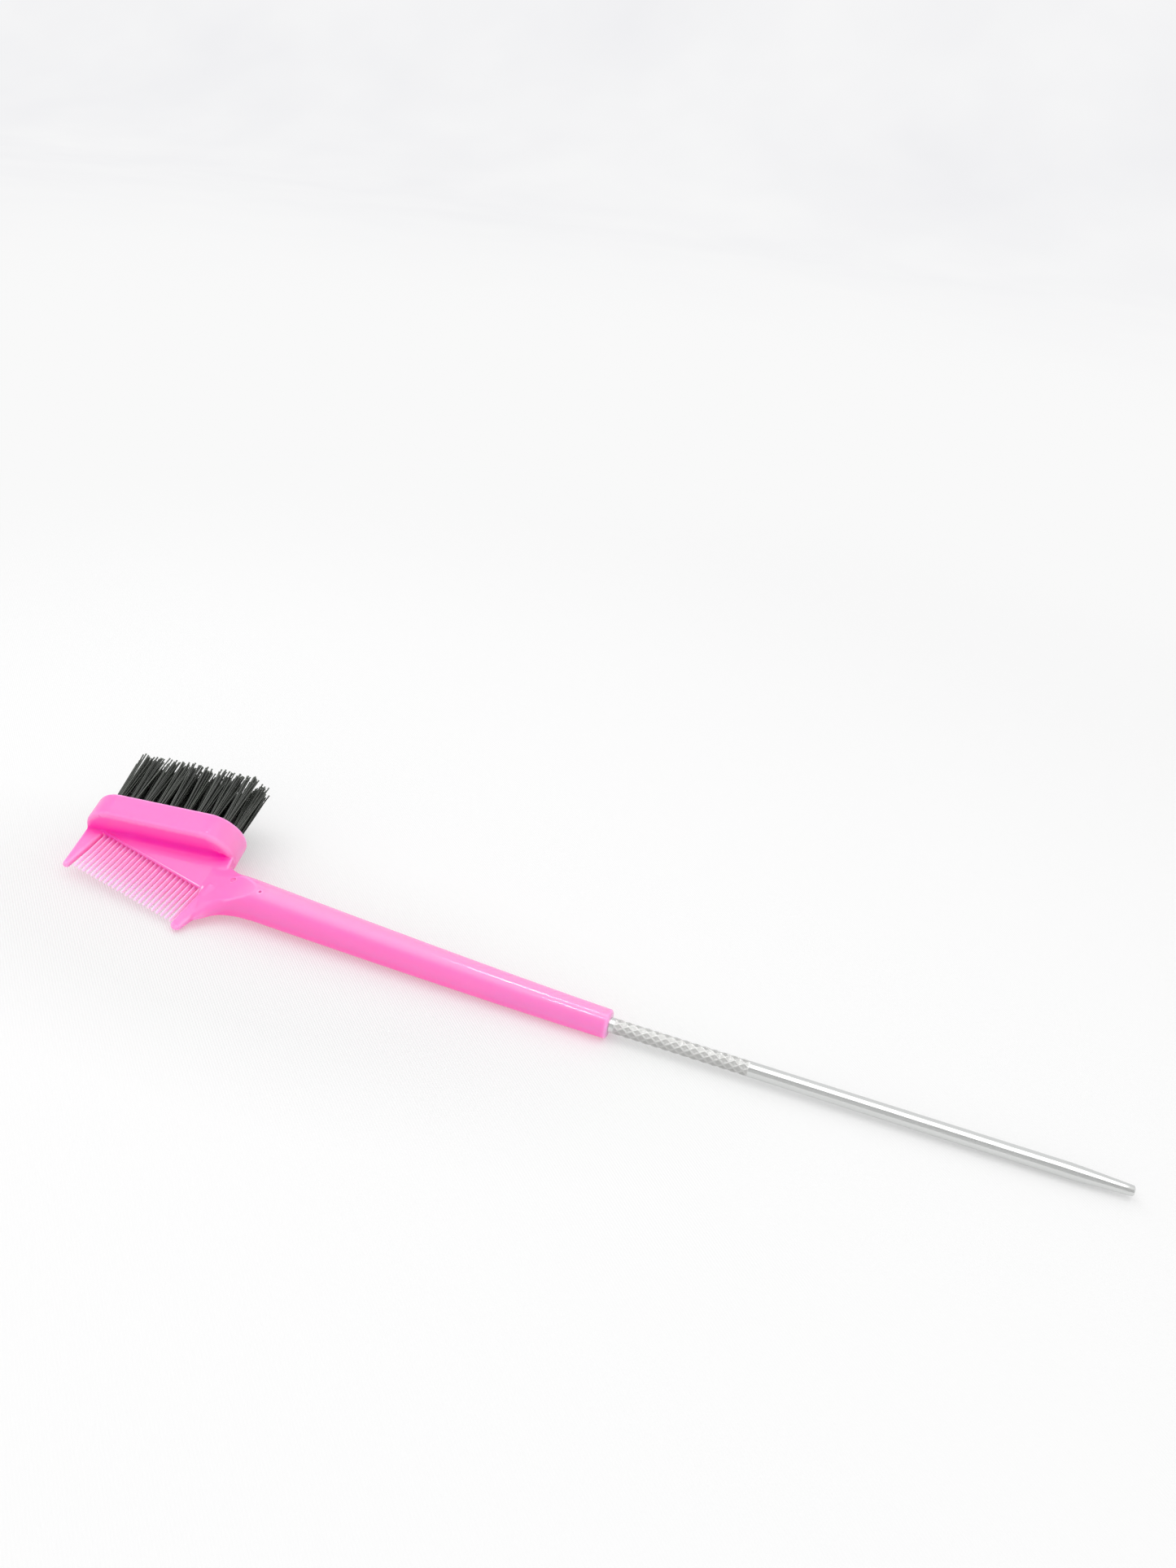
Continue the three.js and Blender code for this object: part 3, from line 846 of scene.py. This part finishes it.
def strand(bm, x, z, index, tuft_lean):
    """One filament: it starts in its hole, bends a little and ends in a cut, slightly swollen tip."""
    reach = math.sqrt((index + 0.5) / STRANDS_IN_TUFT)
    angle = index * GOLDEN_ANGLE + rng.uniform(0, 0.8)
    lean = OUTWARD_LEAN * x + tuft_lean + rng.normal(0, STRAND_LEAN)
    lean += (rng.random() < STRAY_CHANCE) * rng.normal(0, STRAY_LEAN)
    tilt = OUTWARD_TILT * z + rng.normal(0, STRAND_TILT)
    length = BRISTLE_LENGTH - BRISTLE_UNEVENNESS * rng.random() ** 1.5
    bow = rng.normal(0, STRAND_BOW, 2)
    rings = []
    for share in STRAND_SHARES:
        spread = reach * (TUFT_ROOT_RADIUS + TUFT_SPREAD * share)
        curve = math.sin(math.pi * share)
        cx = x + spread * math.cos(angle) + lean * share + bow[0] * curve
        cz = z + TUFT_FLATNESS * spread * math.sin(angle) + tilt * share + bow[1] * curve
        y = PAD_DEPTH / 2 - STRAND_IN_HOLE + (length + STRAND_IN_HOLE) * share
        radius = STRAND_RADIUS * (1 if share < 1 else CUT_SWELLING)
        ring = []
        for side in range(STRAND_SIDES):
            turn = 2 * math.pi * side / STRAND_SIDES
            ring.append(PAD @ Vector((cx + radius * math.cos(turn), y, cz + radius * math.sin(turn))))
        rings.append(ring)
    loft(bm, rings)


def note_shades(piece):
    """Gives every strand a shade of its own, and its cut tip the palest one."""
    ring_count = len(piece.data.vertices) // STRAND_SIDES
    strand_count = ring_count // len(STRAND_SHARES)
    shades = np.repeat(rng.random(strand_count) ** 2, len(STRAND_SHARES)).reshape(strand_count, -1)
    shades *= SHADE_RANGE
    shades[:, -1] = 1
    note(piece, "shade", np.repeat(shades.ravel(), STRAND_SIDES))


bristle_rows = []
for row in range(len(ROW_TUFTS)):
    strands = bmesh.new()
    for x, z in tuft_places(row):
        tuft_lean = rng.normal(0, TUFT_LEAN)
        for index in range(STRANDS_IN_TUFT):
            strand(strands, x, z, index, tuft_lean)
    made = mesh_object(f"bristle_row_{row + 1}_strands", strands)
    note_shades(made)
    lay_down(made, "bristle_nylon", f"bristle_row_{row + 1}", smooth_angle=70)
    bristle_rows.append(made)

# %% [markdown]
# Each finish is a small tree of shader nodes. Faint patches, a fine grain and the tiny unevenness of a
# surface turn up in all of them, so that effect is one node group with its own inputs, placed in each
# material with its own values.

# %% A shared surface effect
GRAIN_SHARE = 0.35


def add_node(tree, kind, **values):
    """A node with its properties and inputs set by name."""
    made = tree.nodes.new(kind)
    for name, value in values.items():
        label = name.replace("_", " ")
        if hasattr(made, name):
            setattr(made, name, value)
        else:
            made.inputs[label].default_value = value
    return made


def handled_surface():
    """Noise at three sizes, stretched as the caller asks: patches, grain and a height for bumps."""
    group = bpy.data.node_groups.new("handled_surface", "ShaderNodeTree")
    sockets = [("Stretch", "INPUT", "NodeSocketVector"), ("Patch Scale", "INPUT", "NodeSocketFloat"),
               ("Grain Scale", "INPUT", "NodeSocketFloat"), ("Patches", "OUTPUT", "NodeSocketFloat"),
               ("Grain", "OUTPUT", "NodeSocketFloat"), ("Height", "OUTPUT", "NodeSocketFloat")]
    for name, way, kind in sockets:
        group.interface.new_socket(name, in_out=way, socket_type=kind)
    start = group.nodes.new("NodeGroupInput")
    end = group.nodes.new("NodeGroupOutput")
    place = group.nodes.new("ShaderNodeTexCoord")
    stretched = add_node(group, "ShaderNodeVectorMath", operation="MULTIPLY")
    group.links.new(place.outputs["Object"], stretched.inputs[0])
    group.links.new(start.outputs["Stretch"], stretched.inputs[1])
    for scale, output, detail in (("Patch Scale", "Patches", 3.0), ("Grain Scale", "Grain", 6.0)):
        noise = add_node(group, "ShaderNodeTexNoise", Detail=detail, Roughness=0.6)
        group.links.new(stretched.outputs[0], noise.inputs["Vector"])
        group.links.new(start.outputs[scale], noise.inputs["Scale"])
        group.links.new(noise.outputs["Fac"], end.inputs[output])
    both = add_node(group, "ShaderNodeMath", operation="MULTIPLY_ADD")
    both.inputs[1].default_value = GRAIN_SHARE
    grain, patches = (n for n in reversed(group.nodes) if n.type == "TEX_NOISE")
    group.links.new(grain.outputs["Fac"], both.inputs[0])
    group.links.new(patches.outputs["Fac"], both.inputs[2])
    group.links.new(both.outputs[0], end.inputs["Height"])
    return group


HANDLED = handled_surface()
print("shared effect:", [item.name for item in HANDLED.interface.items_tree])

# %% [markdown]
# A few helpers keep the materials short: each one adds a node, sets it and returns what the next node
# needs. The Principled shader always stays in the material itself.

# %% Helpers for materials
def new_material(name, **shader_values):
    """A material with a Principled shader, whose plain values are set on its own sockets."""
    made = bpy.data.materials.new(name)
    made.use_nodes = True
    shader = made.node_tree.nodes["Principled BSDF"]
    for label, value in shader_values.items():
        shader.inputs[label.replace("_", " ")].default_value = value
    return made, made.node_tree, shader


def place_handled(tree, stretch, patch_scale, grain_scale):
    made = tree.nodes.new("ShaderNodeGroup")
    made.node_tree = HANDLED
    made.inputs["Stretch"].default_value = stretch
    made.inputs["Patch Scale"].default_value = patch_scale
    made.inputs["Grain Scale"].default_value = grain_scale
    return made


def remap(tree, source, low, high):
    """Spreads a noise value, which stays near a half, over low to high."""
    made = add_node(tree, "ShaderNodeMapRange", From_Min=0.3, From_Max=0.7, To_Min=low, To_Max=high)
    tree.links.new(source, made.inputs["Value"])
    return made.outputs["Result"]


def mix_colour(tree, factor, first, second):
    """first and second are each a colour or another node's output."""
    made = add_node(tree, "ShaderNodeMix", data_type="RGBA")
    tree.links.new(factor, made.inputs["Factor"])
    for index, colour in ((6, first), (7, second)):
        if isinstance(colour, bpy.types.NodeSocket):
            tree.links.new(colour, made.inputs[index])
        else:
            made.inputs[index].default_value = (*colour, 1)
    return made.outputs[2]


def noted(tree, name):
    """A number that the mesh keeps at its points."""
    return add_node(tree, "ShaderNodeAttribute", attribute_name=name).outputs["Fac"]


def add_bump(tree, shader, height, distance, strength=1.0):
    bump = add_node(tree, "ShaderNodeBump", Strength=strength, Distance=distance)
    tree.links.new(height, bump.inputs["Height"])
    tree.links.new(bump.outputs["Normal"], shader.inputs["Normal"])


# %% [markdown]
# The plastic is a glossy pink one, such as polypropylene, that lets a little light in. Subsurface
# scattering softens its shadows. The rest is painted light and shade, from what the mesh noted: painted
# shade in the corner and underneath, painted highlights along the edges, a painted sheen on the handle's
# top, painted light where it is thin, and a painted glow below and in the teeth. Faint streaks run along
# the handle, where the melt flowed. A thin coat gives the gloss, and fades out in the corner.

# %% Pink plastic
PINK = (0.97, 0.17, 0.53)
PINK_STREAK = (0.97, 0.185, 0.55)
PINK_PAINTED_SHADE = (1.0, 0.0, 0.42)
PINK_THIN_PAINTED_LIGHT = (0.98, 0.66, 0.86)
PINK_PAINTED_HIGHLIGHT = (1.0, 0.32, 0.66)
PINK_PAINTED_SHEEN = (1.0, 0.3, 0.6)
PAINTED_GLOW_IN_THIN = (0.14, 0.1, 0.12)
PAINTED_GLOW_BELOW = (0.3, 0.02, 0.1)
COAT = 0.45


def pink_plastic():
    made, tree, shader = new_material(
        "glossy_pink_plastic", Subsurface_Weight=0.5, Subsurface_Radius=(1.0, 0.25, 0.45),
        Subsurface_Scale=0.003, IOR=1.5, Specular_IOR_Level=0.15, Coat_Roughness=0.04,
        Emission_Strength=1.0)
    surface = place_handled(tree, (0.15, 1, 1), patch_scale=160, grain_scale=900)
    streaks = mix_colour(tree, remap(tree, surface.outputs["Patches"], 0, 1), PINK, PINK_STREAK)
    # Painted shade deepens the pink in the corner.
    corner_shaded = mix_colour(tree, noted(tree, "corner"), streaks, PINK_PAINTED_SHADE)
    # Painted shade on the underside.
    shaded = mix_colour(tree, noted(tree, "underside_shade_and_glow"), corner_shaded, PINK_PAINTED_SHADE)
    # A painted sheen on the handle's top.
    sheen_painted = mix_colour(tree, noted(tree, "handle_top_sheen"), shaded, PINK_PAINTED_SHEEN)
    # A painted highlight along the outer edges.
    edge_highlighted = mix_colour(tree, noted(tree, "edge"), sheen_painted, PINK_PAINTED_HIGHLIGHT)
    # Painted light: the thin parts are paler, as if lit through.
    colour = mix_colour(tree, noted(tree, "thinness_and_painted_light"), edge_highlighted, PINK_THIN_PAINTED_LIGHT)
    tree.links.new(colour, shader.inputs["Base Color"])
    # A painted glow: the underside and the thin parts give off pink light, as if lit through.
    below = mix_colour(tree, noted(tree, "underside_shade_and_glow"), (0, 0, 0), PAINTED_GLOW_BELOW)
    glow = mix_colour(tree, noted(tree, "thinness_and_painted_light"), below, PAINTED_GLOW_IN_THIN)
    tree.links.new(glow, shader.inputs["Emission Color"])
    tree.links.new(remap(tree, surface.outputs["Grain"], 0.32, 0.42), shader.inputs["Roughness"])
    coat = add_node(tree, "ShaderNodeMapRange", To_Min=COAT, To_Max=0.0)
    tree.links.new(noted(tree, "corner"), coat.inputs["Value"])
    tree.links.new(coat.outputs["Result"], shader.inputs["Coat Weight"])
    add_bump(tree, shader, surface.outputs["Height"], 0.00001)
    return made


moulding.data.materials.clear()
moulding.data.materials.append(pink_plastic())
print("material:", moulding.data.materials[0].name)

# %% [markdown]
# Drawn steel wire is bright but not a perfect mirror: fine drawing lines run along it and blur what it
# reflects. The knurl was rolled into the same metal, so it keeps the same material, but it is rougher
# and a little darker, and painted shade darkens it most where it is pressed in.

# %% Steel
STEEL = (0.67, 0.68, 0.67)
STEEL_BRIGHT = (0.73, 0.74, 0.73)
STEEL_ROLLED = (0.65, 0.65, 0.64)
STEEL_PAINTED_SHADE = (0.54, 0.54, 0.53)
KNURL_ROUGHER = 0.5


def bright_steel():
    made, tree, shader = new_material("drawn_bright_steel", Metallic=1.0)
    surface = place_handled(tree, (0.04, 1, 1), patch_scale=500, grain_scale=2600)
    metal = mix_colour(tree, remap(tree, surface.outputs["Patches"], 0, 1), STEEL, STEEL_BRIGHT)
    rolled = mix_colour(tree, noted(tree, "knurled"), metal, STEEL_ROLLED)
    # Painted shade in the knurl's hollows, darkest where it is pressed in deepest.
    colour = mix_colour(tree, noted(tree, "pressed_in_shade"), rolled, STEEL_PAINTED_SHADE)
    tree.links.new(colour, shader.inputs["Base Color"])
    worn = add_node(tree, "ShaderNodeMath", operation="MULTIPLY_ADD")
    worn.inputs[1].default_value = KNURL_ROUGHER
    tree.links.new(noted(tree, "knurled"), worn.inputs[0])
    tree.links.new(remap(tree, surface.outputs["Grain"], 0.1, 0.2), worn.inputs[2])
    tree.links.new(worn.outputs[0], shader.inputs["Roughness"])
    add_bump(tree, shader, surface.outputs["Height"], 0.00002)
    return made


pin.data.materials.clear()
pin.data.materials.append(bright_steel())
print("material:", pin.data.materials[0].name)

# %% [markdown]
# Nylon filament is black with a slight green-brown cast, and it shines along its length. Its colour
# changes a little from strand to strand. The staples in the holes are stamped from brass strip.

# %% Nylon and brass
NYLON = (0.008, 0.01, 0.008)
NYLON_DUSTY = (0.02, 0.024, 0.018)
NYLON_CUT = (0.17, 0.19, 0.16)
BRASS_DULL = (0.5, 0.33, 0.12)
BRASS = (0.66, 0.47, 0.2)


def black_nylon():
    made, tree, shader = new_material("black_nylon_filament", IOR=1.53)
    surface = place_handled(tree, (1, 0.2, 1), patch_scale=300, grain_scale=1200)
    black = mix_colour(tree, remap(tree, surface.outputs["Patches"], 0, 1), NYLON, NYLON_DUSTY)
    colour = mix_colour(tree, noted(tree, "shade"), black, NYLON_CUT)
    tree.links.new(colour, shader.inputs["Base Color"])
    tree.links.new(remap(tree, surface.outputs["Grain"], 0.22, 0.32), shader.inputs["Roughness"])
    add_bump(tree, shader, surface.outputs["Height"], 0.000003)
    return made


def stamped_brass():
    made, tree, shader = new_material("stamped_brass_strip", Metallic=1.0)
    surface = place_handled(tree, (1, 1, 1), patch_scale=700, grain_scale=5000)
    colour = mix_colour(tree, remap(tree, surface.outputs["Patches"], 0, 1), BRASS_DULL, BRASS)
    tree.links.new(colour, shader.inputs["Base Color"])
    tree.links.new(remap(tree, surface.outputs["Grain"], 0.3, 0.5), shader.inputs["Roughness"])
    add_bump(tree, shader, surface.outputs["Height"], 0.00001)
    return made


nylon = black_nylon()
for made in bristle_rows:
    made.data.materials.clear()
    made.data.materials.append(nylon)
brass = stamped_brass()
for name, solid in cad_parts.items():
    if name.startswith("tuft_anchor"):
        solid.data.materials.clear()
        solid.data.materials.append(brass)
print("materials:", nylon.name, "and", brass.name)

# %% [markdown]
# The brush lies on a white cloth with a fine diagonal weave, a twill. Real threads would be far too
# many, so a wave texture draws them in colour and in bumps. Light washes the weave out except in the
# brush's shade round the head and the handle, so its darker lines are painted shade there and fade out
# further away.

# %% Twill
CLOTH_LIGHT = (0.85, 0.85, 0.85)
CLOTH_DARK = (0.76, 0.76, 0.76)
TWILL_TURN = -46
TWILL_SCALE = 597
TWILL_DISTORTION = 0.4
TWILL_HEIGHT = 0.00007
WEAVE_SHIFT = (0.0245, 0.02, 0)
WEAVE_SQUEEZE = (0.35, 1, 0)
WEAVE_FADE = (0.02, 0.045)
WEAVE_FAR = 0.1


def by_distance(tree, vector, fade, near, far, curve):
    """The near value up to the fade's first distance from the middle, and the far one past its second."""
    length = add_node(tree, "ShaderNodeVectorMath", operation="LENGTH")
    tree.links.new(vector, length.inputs[0])
    blend = add_node(tree, "ShaderNodeMapRange", interpolation_type=curve, To_Min=near, To_Max=far)
    blend.inputs["From Min"].default_value, blend.inputs["From Max"].default_value = fade
    tree.links.new(length.outputs["Value"], blend.inputs["Value"])
    return blend.outputs["Result"]


def weave_shade_near_brush(tree, place):
    """Painted shade: 1 round the head and the handle, where the weave shows darker, and little further
    out.
    """
    squeezed = add_node(tree, "ShaderNodeMapping", Location=WEAVE_SHIFT, Scale=WEAVE_SQUEEZE)
    tree.links.new(place.outputs["Object"], squeezed.inputs["Vector"])
    return by_distance(tree, squeezed.outputs["Vector"], WEAVE_FADE, 1.0, WEAVE_FAR, "LINEAR")


def twill(tree, shader):
    """A fine diagonal weave, in colour and in bumps."""
    place = tree.nodes.new("ShaderNodeTexCoord")
    turned = add_node(tree, "ShaderNodeMapping", Rotation=(0, 0, math.radians(TWILL_TURN)))
    tree.links.new(place.outputs["Object"], turned.inputs["Vector"])
    wave = add_node(tree, "ShaderNodeTexWave", Scale=TWILL_SCALE, Distortion=TWILL_DISTORTION, Detail=1.0)
    wave.bands_direction = "X"
    tree.links.new(turned.outputs["Vector"], wave.inputs["Vector"])
    # Painted shade: the weave's darker lines are drawn only near the brush.
    seen = add_node(tree, "ShaderNodeMath", operation="MULTIPLY")
    tree.links.new(wave.outputs["Fac"], seen.inputs[0])
    tree.links.new(weave_shade_near_brush(tree, place), seen.inputs[1])
    colour = mix_colour(tree, seen.outputs[0], CLOTH_LIGHT, CLOTH_DARK)
    tree.links.new(colour, shader.inputs["Base Color"])
    add_bump(tree, shader, seen.outputs[0], TWILL_HEIGHT)


# %% [markdown]
# The cloth rises behind the brush, so there is no horizon. Near the brush it is mostly a real surface
# that takes shadows. Further out it fades into a glow, but only for the rays that look at it or mirror
# it, so the picture stays nearly evenly white and the glow lights nothing. Far off, the glow carries
# patches of painted shade, greyer and a little cooler.

# %% Cloth and backdrop
PAPER_WHITE = 0.947
FAR_SHADED_WHITE = 0.87
FAR_COOLER = 1.02
GLOW_FADE = (0.17, 0.4)
GLOW_NEAR = 0.35
PATCH_FADE = (0.7, 2.2)


def seen_directly(tree):
    """1 for a ray from the camera, or one mirrored or let through, and 0 for scattered light."""
    path = tree.nodes.new("ShaderNodeLightPath")
    total = path.outputs["Is Camera Ray"]
    for name in ("Is Glossy Ray", "Is Transmission Ray"):
        more = add_node(tree, "ShaderNodeMath", operation="MAXIMUM")
        tree.links.new(total, more.inputs[0])
        tree.links.new(path.outputs[name], more.inputs[1])
        total = more.outputs[0]
    return total


def away_from_brush(tree, fade, near=0.0):
    """The near value round the brush and 1 far from it."""
    place = tree.nodes.new("ShaderNodeTexCoord")
    return by_distance(tree, place.outputs["Object"], fade, near, 1.0, "SMOOTHSTEP")


def white_cloth():
    made, tree, shader = new_material("white_twill_cloth", Roughness=0.9, Specular_IOR_Level=0.1)
    twill(tree, shader)
    surface = place_handled(tree, (1, 1, 1), patch_scale=2.5, grain_scale=400)
    glow = tree.nodes.new("ShaderNodeEmission")
    # Painted shade far off: greyer, cooler patches in the glow.
    shade = add_node(tree, "ShaderNodeMath", operation="MULTIPLY")
    tree.links.new(remap(tree, surface.outputs["Patches"], 0.3, 1), shade.inputs[0])
    tree.links.new(away_from_brush(tree, PATCH_FADE), shade.inputs[1])
    cooler = (FAR_SHADED_WHITE, FAR_SHADED_WHITE, FAR_SHADED_WHITE * FAR_COOLER)
    white = mix_colour(tree, shade.outputs[0], (PAPER_WHITE,) * 3, cooler)
    tree.links.new(white, glow.inputs["Color"])
    share = add_node(tree, "ShaderNodeMath", operation="MULTIPLY")
    tree.links.new(away_from_brush(tree, GLOW_FADE, near=GLOW_NEAR), share.inputs[0])
    tree.links.new(seen_directly(tree), share.inputs[1])
    both = tree.nodes.new("ShaderNodeMixShader")
    tree.links.new(share.outputs[0], both.inputs["Fac"])
    tree.links.new(shader.outputs[0], both.inputs[1])
    tree.links.new(glow.outputs[0], both.inputs[2])
    tree.links.new(both.outputs[0], tree.nodes["Material Output"].inputs["Surface"])
    return made


def sweep(half_width=4.0, front=-1.6, back=1.6, bend=0.8, height=3.0):
    """A floor that curves up into a backdrop."""
    bm = bmesh.new()
    profile = [(front, 0), (back, 0)]
    profile += [(back + bend * math.sin(a), bend * (1 - math.cos(a))) for a in np.linspace(0.1, 1.5, 15)]
    profile += [(back + bend, height)]
    edges = [[bm.verts.new((x, y, z)) for y, z in profile] for x in (-half_width, half_width)]
    for i in range(len(profile) - 1):
        bm.faces.new((edges[0][i], edges[1][i], edges[1][i + 1], edges[0][i + 1]))
    made = mesh_object("cloth_sweep", bm)
    made.data.shade_smooth()
    return made


cloth = sweep()
cloth.data.materials.append(white_cloth())
print("cloth:", len(cloth.data.polygons), "faces")

# %% [markdown]
# The light is that of a bright room: even from all sides, with a large soft panel overhead, which the
# pin shows as its white band, and a window to the left and behind. Gloss needs more light than paint
# does, so a second panel in the same place lights reflections only. Two narrow strips, also for
# reflections only, draw the thin lines along the handle.

# %% World and lamps
WORLD_STRENGTH = 0.93
PANEL_SIZE = (0.85, 0.455)
STRIP_FAN = 15


def bright_room():
    world = bpy.data.worlds.new("bright_room")
    world.use_nodes = True
    scene.world = world
    tree = world.node_tree
    background = tree.nodes["Background"]
    background.inputs["Color"].default_value = (1, 1, 1, 1)
    strength = add_node(tree, "ShaderNodeMapRange", To_Min=WORLD_STRENGTH, To_Max=PAPER_WHITE)
    tree.links.new(seen_directly(tree), strength.inputs["Value"])
    tree.links.new(strength.outputs["Result"], background.inputs["Strength"])


def lamp(name, place, size, radiance, turn=(0, 0, 0), only_gloss=False, fan=180):
    """A rectangular lamp whose face glows at the given radiance. Unturned, it faces straight down.

    A fan under 180 degrees keeps its light in a cone, as a grid of slats in front of a lamp does.
    """
    data = bpy.data.lights.new(name, "AREA")
    data.shape = "RECTANGLE"
    data.size, data.size_y = size
    data.energy = radiance * math.pi * size[0] * size[1]
    if fan < 180:
        half = math.radians(fan / 2)
        data.spread = 2 * half
        data.energy *= 1 - half / math.tan(half)
    made = bpy.data.objects.new(name, data)
    made.location = place
    made.rotation_euler = [math.radians(a) for a in turn]
    made.visible_diffuse = not only_gloss
    scene.collection.objects.link(made)


bright_room()
lamp("overhead_panel", (-0.07, -0.0625, 0.52), PANEL_SIZE, 0.85)
lamp("shine_panel", (-0.07, -0.0625, 0.51), PANEL_SIZE, 0.6, only_gloss=True)
lamp("window", (-0.6, 0.5, 0.55), (0.4, 0.4), 1.5, turn=(-31.6, -47.5, 0))
lamp(
    "upper_strip", (-0.086, 0.097, 0.5), (0.12, 0.045), 46,
    turn=(-13.9, -4.9, 22), only_gloss=True, fan=STRIP_FAN)
lamp(
    "lower_strip", (-0.066, -0.156, 0.5), (0.045, 0.04), 42,
    turn=(19, 3.5, -35), only_gloss=True, fan=STRIP_FAN)

# %% [markdown]
# Polished metal needs something darker than a white room to reflect, or it looks like paper. A grey card
# stands in front, hidden from the camera and from scattered light, so that only reflections show it.

# %% Grey card
CARD_CORNERS = ((-1, 0.02), (1, 0.02), (1, 1), (-1, 1))
CARD_FACES = (-0.62, -0.61)
CARD_GREY = (0.68, 0.68, 0.68)
CARD_PALE = (0.76, 0.76, 0.76)


def grey_card():
    bm = bmesh.new()
    loft(bm, [[(x, y, z) for x, z in CARD_CORNERS] for y in CARD_FACES])
    made = mesh_object("grey_card", bm)
    made.visible_camera = False
    made.visible_diffuse = False
    made.visible_shadow = False
    material, tree, shader = new_material("grey_card_paper", Roughness=0.9)
    surface = place_handled(tree, (1, 1, 1), patch_scale=5, grain_scale=300)
    colour = mix_colour(tree, surface.outputs["Grain"], CARD_GREY, CARD_PALE)
    tree.links.new(colour, shader.inputs["Base Color"])
    made.data.materials.append(material)
    print("grey card:", len(made.data.polygons), "faces")


grey_card()
